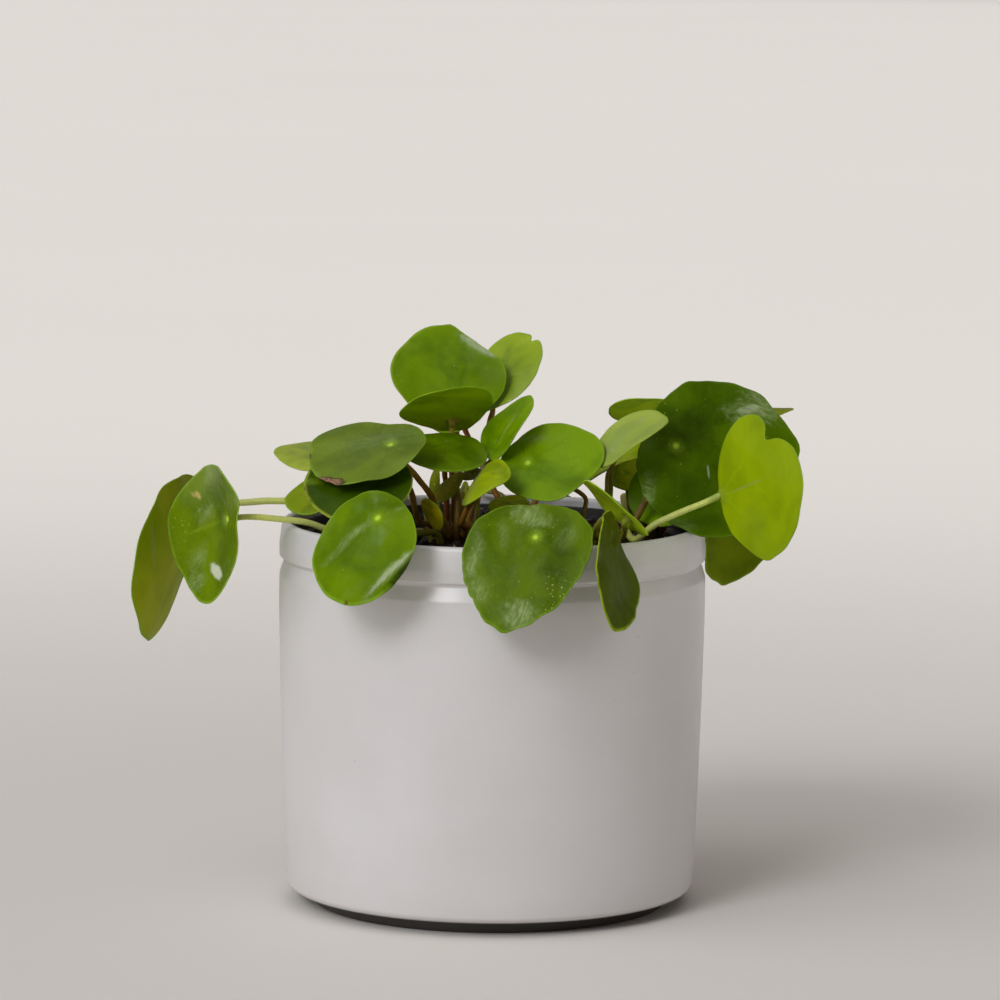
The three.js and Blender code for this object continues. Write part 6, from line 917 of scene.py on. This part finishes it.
def build_soil():
    rng = np.random.RandomState(7)
    edge, rings, around = 75.35, 58, 300
    terms = [(rng.rand() * 2 * np.pi, rng.rand() * 2 * np.pi, w, h) for w, h in [(60, 0.9), (44, 0.8), (30, 0.6), (22, 0.5), (15, 0.4), (11, 0.35), (7.5, 0.28), (5.5, 0.24), (4.2, 0.2), (3.4, 0.18)] for _ in (0, 1)]

    def ground(x, y):
        z = np.zeros_like(x)
        for a, p, w, h in terms:
            z = z + h * np.sin(2 * np.pi / w * (x * np.cos(a) + y * np.sin(a)) + p)
        r = np.hypot(x, y)
        for sx, sy, sr in STEMS.values():
            z = z + 1.6 * np.exp(-(((np.hypot(x - sx, y - sy)) / (2.0 * sr)) ** 2))
        return SOIL_TOP - 1.0 + z * np.clip((edge - r) / 6, 0.15, 1)

    a = 2 * np.pi * np.arange(around) / around
    verts, faces = [np.array([[0, 0, ground(np.zeros(1), np.zeros(1))[0]]])], []
    for k in range(1, rings + 1):
        r = edge * k / rings
        x, y = r * np.cos(a), r * np.sin(a)
        jitter = (rng.rand(2, around) - 0.5) * (0.9 if k < rings else 0)
        x, y = x + jitter[0], y + jitter[1]
        verts.append(np.stack([x, y, ground(x, y) + (rng.rand(around) - 0.5) * (0.55 if k < rings else 0)], 1))
    low_r = 60.2
    for z, r in ((120.0, 72.6), (60.0, 65.6), (14.0, low_r)):
        verts.append(np.stack([r * np.cos(a), r * np.sin(a), np.full(around, z)], 1))
    verts.append(np.array([[0, 0, 14.0]]))
    count = rings + 3
    at = lambda k, i: 1 + (k - 1) * around + i % around
    last = 1 + count * around
    for i in range(around):
        faces.append((0, at(1, i), at(1, i + 1)))
        for k in range(1, count):
            faces.append((at(k, i), at(k + 1, i), at(k + 1, i + 1), at(k, i + 1)))
        faces.append((last, at(count, i + 1), at(count, i)))
    total = last + 1
    blocks = [np.vstack(verts)]
    shapes = {0: icosphere(1), 1: icosphere(0)}
    for level, number, low, high in ((0, 760, 0.9, 2.4), (1, 2300, 0.35, 0.85)):
        v, f = shapes[level]
        for _ in range(number):
            r, t = 74.0 * math.sqrt(rng.rand()), rng.rand() * 2 * np.pi
            x, y = r * math.cos(t), r * math.sin(t)
            s = low + (high - low) * rng.rand() ** 2
            stretch = 0.6 + 0.8 * rng.rand(3)
            q, _ = np.linalg.qr(rng.randn(3, 3))
            if np.linalg.det(q) < 0:
                q[:, 0] *= -1
            bumpy = v * (1 + 0.25 * (rng.rand(len(v), 1) - 0.5))
            if r + s > 74.6:
                continue
            p = (bumpy * stretch * s) @ q.T + [x, y, float(ground(np.array([x]), np.array([y]))[0]) + 0.25 * s]
            blocks.append(p)
            faces += [tuple(i + total for i in g) for g in f]
            total += len(v)
    # short fibres and bits of bark lying on it
    for _ in range(170):
        r, t = 70.0 * math.sqrt(rng.rand()), rng.rand() * 2 * np.pi
        x, y, direction, length = r * math.cos(t), r * math.sin(t), rng.rand() * 2 * np.pi, 3 + 7 * rng.rand()
        wide, bend = 0.16 + 0.3 * rng.rand() ** 2, (rng.rand() - 0.5) * 0.8
        rows = []
        for k in range(7):
            s = (k / 6 - 0.5) * length
            aa = direction + bend * k / 6
            cx, cy = x + s * math.cos(aa), y + s * math.sin(aa)
            w = wide * (0.35 + 0.65 * math.sin(math.pi * (k + 0.4) / 6.8))
            z = float(ground(np.array([cx]), np.array([cy]))[0]) + 0.45 + 0.5 * (k % 3 == 1) * rng.rand()
            side = np.array([-math.sin(aa), math.cos(aa), 0]) * w
            rows.append([np.array([cx, cy, z]) + side, np.array([cx, cy, z + w]), np.array([cx, cy, z]) - side, np.array([cx, cy, z - w])])
        blocks.append(np.array(rows).reshape(-1, 3))
        for k in range(6):
            for i in range(4):
                j = (i + 1) % 4
                faces.append((total + k * 4 + i, total + k * 4 + j, total + k * 4 + 4 + j, total + k * 4 + 4 + i))
        faces.append((total + 3, total + 2, total + 1, total))
        faces.append((total + 24, total + 25, total + 26, total + 27))
        total += 28
    ob = make_object("soil_bed", np.vstack(blocks), faces, [soil_material()], "potting_soil", smooth=False)
    return ob


def build_stems(bark, scale_mat):
    for number, (name, (cx, cy, radius)) in enumerate(STEMS.items()):
        rng = np.random.RandomState(40 + number)
        around, levels = 40, 22
        a = 2 * np.pi * np.arange(around) / around
        low, top = SOIL_TOP - 3.2, STEM_TOP
        scars = [(rng.rand() * 2 * np.pi, low + 3 + (top - low - 4.5) * rng.rand(), 1.0 + 0.7 * rng.rand()) for _ in range(7)]
        profile = [(radius * 1.12, low), (radius * 1.03, low + 2.5), (radius * 0.97, low + 5), (radius * 0.98, top - 2.6), (radius * 0.86, top - 1.2), (radius * 0.60, top - 0.4), (radius * 0.3, top - 0.1)]
        arc = np.linspace(0, 1, len(profile))
        t = np.linspace(0, 1, levels)
        pr, pz = np.interp(t, arc, [p[0] for p in profile]), np.interp(t, arc, [p[1] for p in profile])
        verts, faces = [np.array([[cx, cy, low]])], []
        ph = rng.rand(4) * 2 * np.pi
        for r, z in zip(pr, pz):
            rr = r * (1 + 0.035 * np.sin(3 * a + ph[0]) + 0.03 * np.sin(5 * a + ph[1] + 0.5 * z) + 0.02 * np.sin(9 * a + ph[2] + z))
            for sa, sz, sr in scars:  # a swollen ring with a dent in it where an old stalk fell off
                d = np.hypot(np.angle(np.exp(1j * (a - sa))) * r, z - sz) / sr
                rr = rr + 0.34 * np.exp(-(((d - 1) / 0.4) ** 2)) - 0.22 * np.exp(-((d / 0.6) ** 2))
            verts.append(np.stack([cx + rr * np.cos(a), cy + rr * np.sin(a), np.full(around, z) + 0.12 * np.sin(4 * a + ph[3])], 1))
        verts.append(np.array([[cx, cy, top]]))
        at = lambda k, i: 1 + k * around + i % around
        last = 1 + levels * around
        mats = []
        for i in range(around):
            faces.append((0, at(0, i + 1), at(0, i)))
            for k in range(levels - 1):
                faces.append((at(k, i), at(k, i + 1), at(k + 1, i + 1), at(k + 1, i)))
            faces.append((last, at(levels - 1, i), at(levels - 1, i + 1)))
        mats = [0] * len(faces)
        total, blocks = last + 1, [np.vstack(verts)]
        # small dry scales between the stalks
        for _ in range(9):
            sa, sr = rng.rand() * 2 * np.pi, radius * (0.35 + 0.55 * rng.rand())
            out_v, side_v = np.array([math.cos(sa), math.sin(sa), 0]), np.array([-math.sin(sa), math.cos(sa), 0])
            base = np.array([cx, cy, top - 1.8]) + out_v * sr * 0.92
            tall, wide, lean = 3.0 + 2.2 * rng.rand(), 1.3 + 0.6 * rng.rand(), 0.25 + 0.4 * rng.rand()
            rows = []
            for k in range(7):
                f = k / 6
                w = wide * (1 - f**1.6) * 0.5 + 0.04
                p = base + np.array([0, 0, 1]) * tall * f + out_v * (lean * tall * f * f)
                th = 0.16 * (1 - f) + 0.04
                rows.append([p + side_v * w, p + out_v * (th + 0.12 * w), p - side_v * w, p - out_v * (th - 0.12 * w)])
            blocks.append(np.array(rows).reshape(-1, 3))
            for k in range(6):
                for i in range(4):
                    j = (i + 1) % 4
                    faces.append((total + k * 4 + i, total + k * 4 + 4 + i, total + k * 4 + 4 + j, total + k * 4 + j))
            faces.append((total, total + 1, total + 2, total + 3))
            faces.append((total + 27, total + 26, total + 25, total + 24))
            mats += [1] * (24 + 2)
            total += 28
        make_object("woody_" + name, np.vstack(blocks), faces, [bark, scale_mat], name, face_material=mats)


def scale_material():
    T = Tree("dry_scale")
    place, *_ = T.place()
    grain = T.noise(T.vmath("MULTIPLY", place, (1.0, 1.0, 0.3)), 2.2, 3.0)
    base = T.mix(T.ramp(grain, 0.3, 0.7), lin((120, 78, 46)), lin((176, 138, 94)))
    T.out(T.principled(base, T.ramp(grain, 0.3, 0.7, 0.55, 0.8), T.bump(grain, 0.5, 0.0004), Specular_IOR_Level=0.4))
    return T.mat


STALK_KIND = {
    "far_left_front": "lime",
    "far_left_back": "lime",
    "right_lime": "lime",
    "left_small_light": "lime",
    "left_low_light": "lime",
    "front_left": "olive",
    "front_large": "olive",
    "front_narrow": "olive",
    "right_narrow": "olive",
    "left_large": "tan",
    "left_shaded": "brown",
    "mid_shadowed": "red",
    "mid_under": "tan",
    "top_large": "tan",
    "top_back_right": "red",
    "mid_folded": "tan",
    "centre_lime": "tan",
    "centre_right": "brown",
    "right_light": "brown",
    "right_under": "brown",
    "right_dark": "brown",
    "right_back_top": "red",
    "right_tip": "olive",
    "right_olive": "olive",
    "back_top": "red",
    "back_right_high": "brown",
    "back_centre_mid": "tan",
    "back_centre_low": "brown",
    "centre_small_right": "brown",
    "centre_dark_small": "brown",
}
build_pots()
build_soil()
build_stems(bark_material(), scale_material())
stalk_mats = {k: stalk_material(k) for k in STALKS}
for index, row in enumerate(LEAVES):
    got = build_leaf(row, index)
    blade = blade_material(row[0], row, got["look"], got["shift"])
    kind = STALK_KIND.get(row[0], "olive" if row[2] == "PALE" else "red")
    make_object("foliage_" + row[0], got["verts"], got["faces"], [blade, stalk_mats[kind]], "leaf_" + row[0], got["attributes"], got["mats"])

# ------------------------------------------------------- floor, light, camera
me = bpy.data.meshes.new("studio_floor")
half = 60.0
me.from_pydata([(-half, -half, 0), (half, -half, 0), (half, half, 0), (-half, half, 0)], [], [(0, 1, 2, 3)])
me.materials.append(floor_material())
floor = bpy.data.objects.new("studio_floor", me)
bpy.context.scene.collection.objects.link(floor)


def area_light(name, place, target, size, power, colour):
    data = bpy.data.lights.new(name, "AREA")
    data.shape = "RECTANGLE"
    data.size, data.size_y = size
    data.energy = power
    data.color = colour
    ob = bpy.data.objects.new(name, data)
    bpy.context.scene.collection.objects.link(ob)
    ob.location = place
    ob.rotation_euler = (Vector(target) - Vector(place)).to_track_quat("-Z", "Y").to_euler()
    return ob


WORLD_COLOUR, WORLD_POWER = (240, 235, 230), 0.25
AIM = (0, 0, 0.14)


def sun_light(name, azimuth, elevation, power, width, colour):
    """A soft distant light; azimuth 0 is the front, 90 the right, degrees."""
    data = bpy.data.lights.new(name, "SUN")
    data.energy = power
    data.angle = math.radians(width)
    data.color = colour
    ob = bpy.data.objects.new(name, data)
    bpy.context.scene.collection.objects.link(ob)
    a, e = math.radians(azimuth), math.radians(elevation)
    ob.rotation_euler = Vector((-math.sin(a) * math.cos(e), math.cos(a) * math.cos(e), -math.sin(e))).to_track_quat("-Z", "Y").to_euler()
    return ob


# the key and a wider side light are distant and soft, so the floor stays even
sun_light("key", -31, 33, 0.98, 22, (0.955, 0.968, 1.0))
sun_light("side", -62, 40, 0.58, 60, (0.96, 0.97, 1.0))
sun_light("top", 0, 86, 0.24, 70, (1.0, 0.985, 0.97))
area_light("edge", (2.0, 0.9, 0.5), AIM, (0.6, 0.8), 0.9, (1.0, 0.97, 0.94))
# a small window and a high soft panel that only the glossy surfaces show
window = area_light("window", (-1.30, -0.45, 1.70), AIM, (0.26, 0.34), 16.0, (1.0, 1.0, 1.0))
panel = area_light("panel", (-0.45, 0.05, 2.1), AIM, (1.1, 0.9), 3.4, (0.96, 0.98, 1.0))
low_window = area_light("low_window", (-1.9, 0.9, 0.75), AIM, (0.16, 0.30), 9.0, (1.0, 1.0, 1.0))
strip = area_light("strip", (-1.47, -2.36, 1.30), AIM, (1.5, 1.2), 22.0, (1.0, 1.0, 1.0))
for light in (window, panel, low_window, strip):
    light.visible_diffuse = False
    light.visible_transmission = False
    light.visible_camera = False
# the floor away from the object is lifted to the tone of a backdrop, on all sides alike
for name, x, y, wide, deep in (("far_back", 0, 5.85, 21.7, 10), ("far_front", 0, -5.85, 21.7, 10), ("far_left", -5.85, 0, 10, 1.7), ("far_right", 5.85, 0, 10, 1.7)):
    light = area_light(name, (x, y, 1.5), (x, y, 0), (wide, deep), 3.8 * wide * deep / 4, (0.985, 0.985, 0.985))
    light.rotation_euler = (0, 0, 0)
    light.data.spread = math.radians(70)
    light.visible_camera = False
    light.visible_glossy = False


scene = bpy.context.scene
world = bpy.data.worlds.new("studio")
scene.world = world
world.use_nodes = True
world.node_tree.nodes["Background"].inputs[0].default_value = (*lin(WORLD_COLOUR), 1)
world.node_tree.nodes["Background"].inputs[1].default_value = WORLD_POWER
scene.view_settings.view_transform = "Standard"
scene.view_settings.look = "None"

# the camera stands where the photograph was taken from
pitch, roll, yaw = math.radians(7.253), math.radians(0.606), math.radians(0.072)
fw = Vector((math.sin(yaw) * math.cos(pitch), math.cos(yaw) * math.cos(pitch), -math.sin(pitch)))
right = Vector((math.cos(yaw), -math.sin(yaw), 0))
up = right.cross(fw)
r2, u2 = right * math.cos(roll) + up * math.sin(roll), up * math.cos(roll) - right * math.sin(roll)
cam_data = bpy.data.cameras.new("camera")
cam_data.sensor_width = 36.0
cam_data.lens = 5.43843 * 36.0
cam_data.clip_start, cam_data.clip_end = 0.05, 200.0
cam = bpy.data.objects.new("camera", cam_data)
scene.collection.objects.link(cam)
cam.matrix_world = Matrix(
    (
        (r2.x, u2.x, -fw.x, 0.0),
        (r2.y, u2.y, -fw.y, -2.150),
        (r2.z, u2.z, -fw.z, 0.4347),
        (0, 0, 0, 1),
    )
)
scene.camera = cam
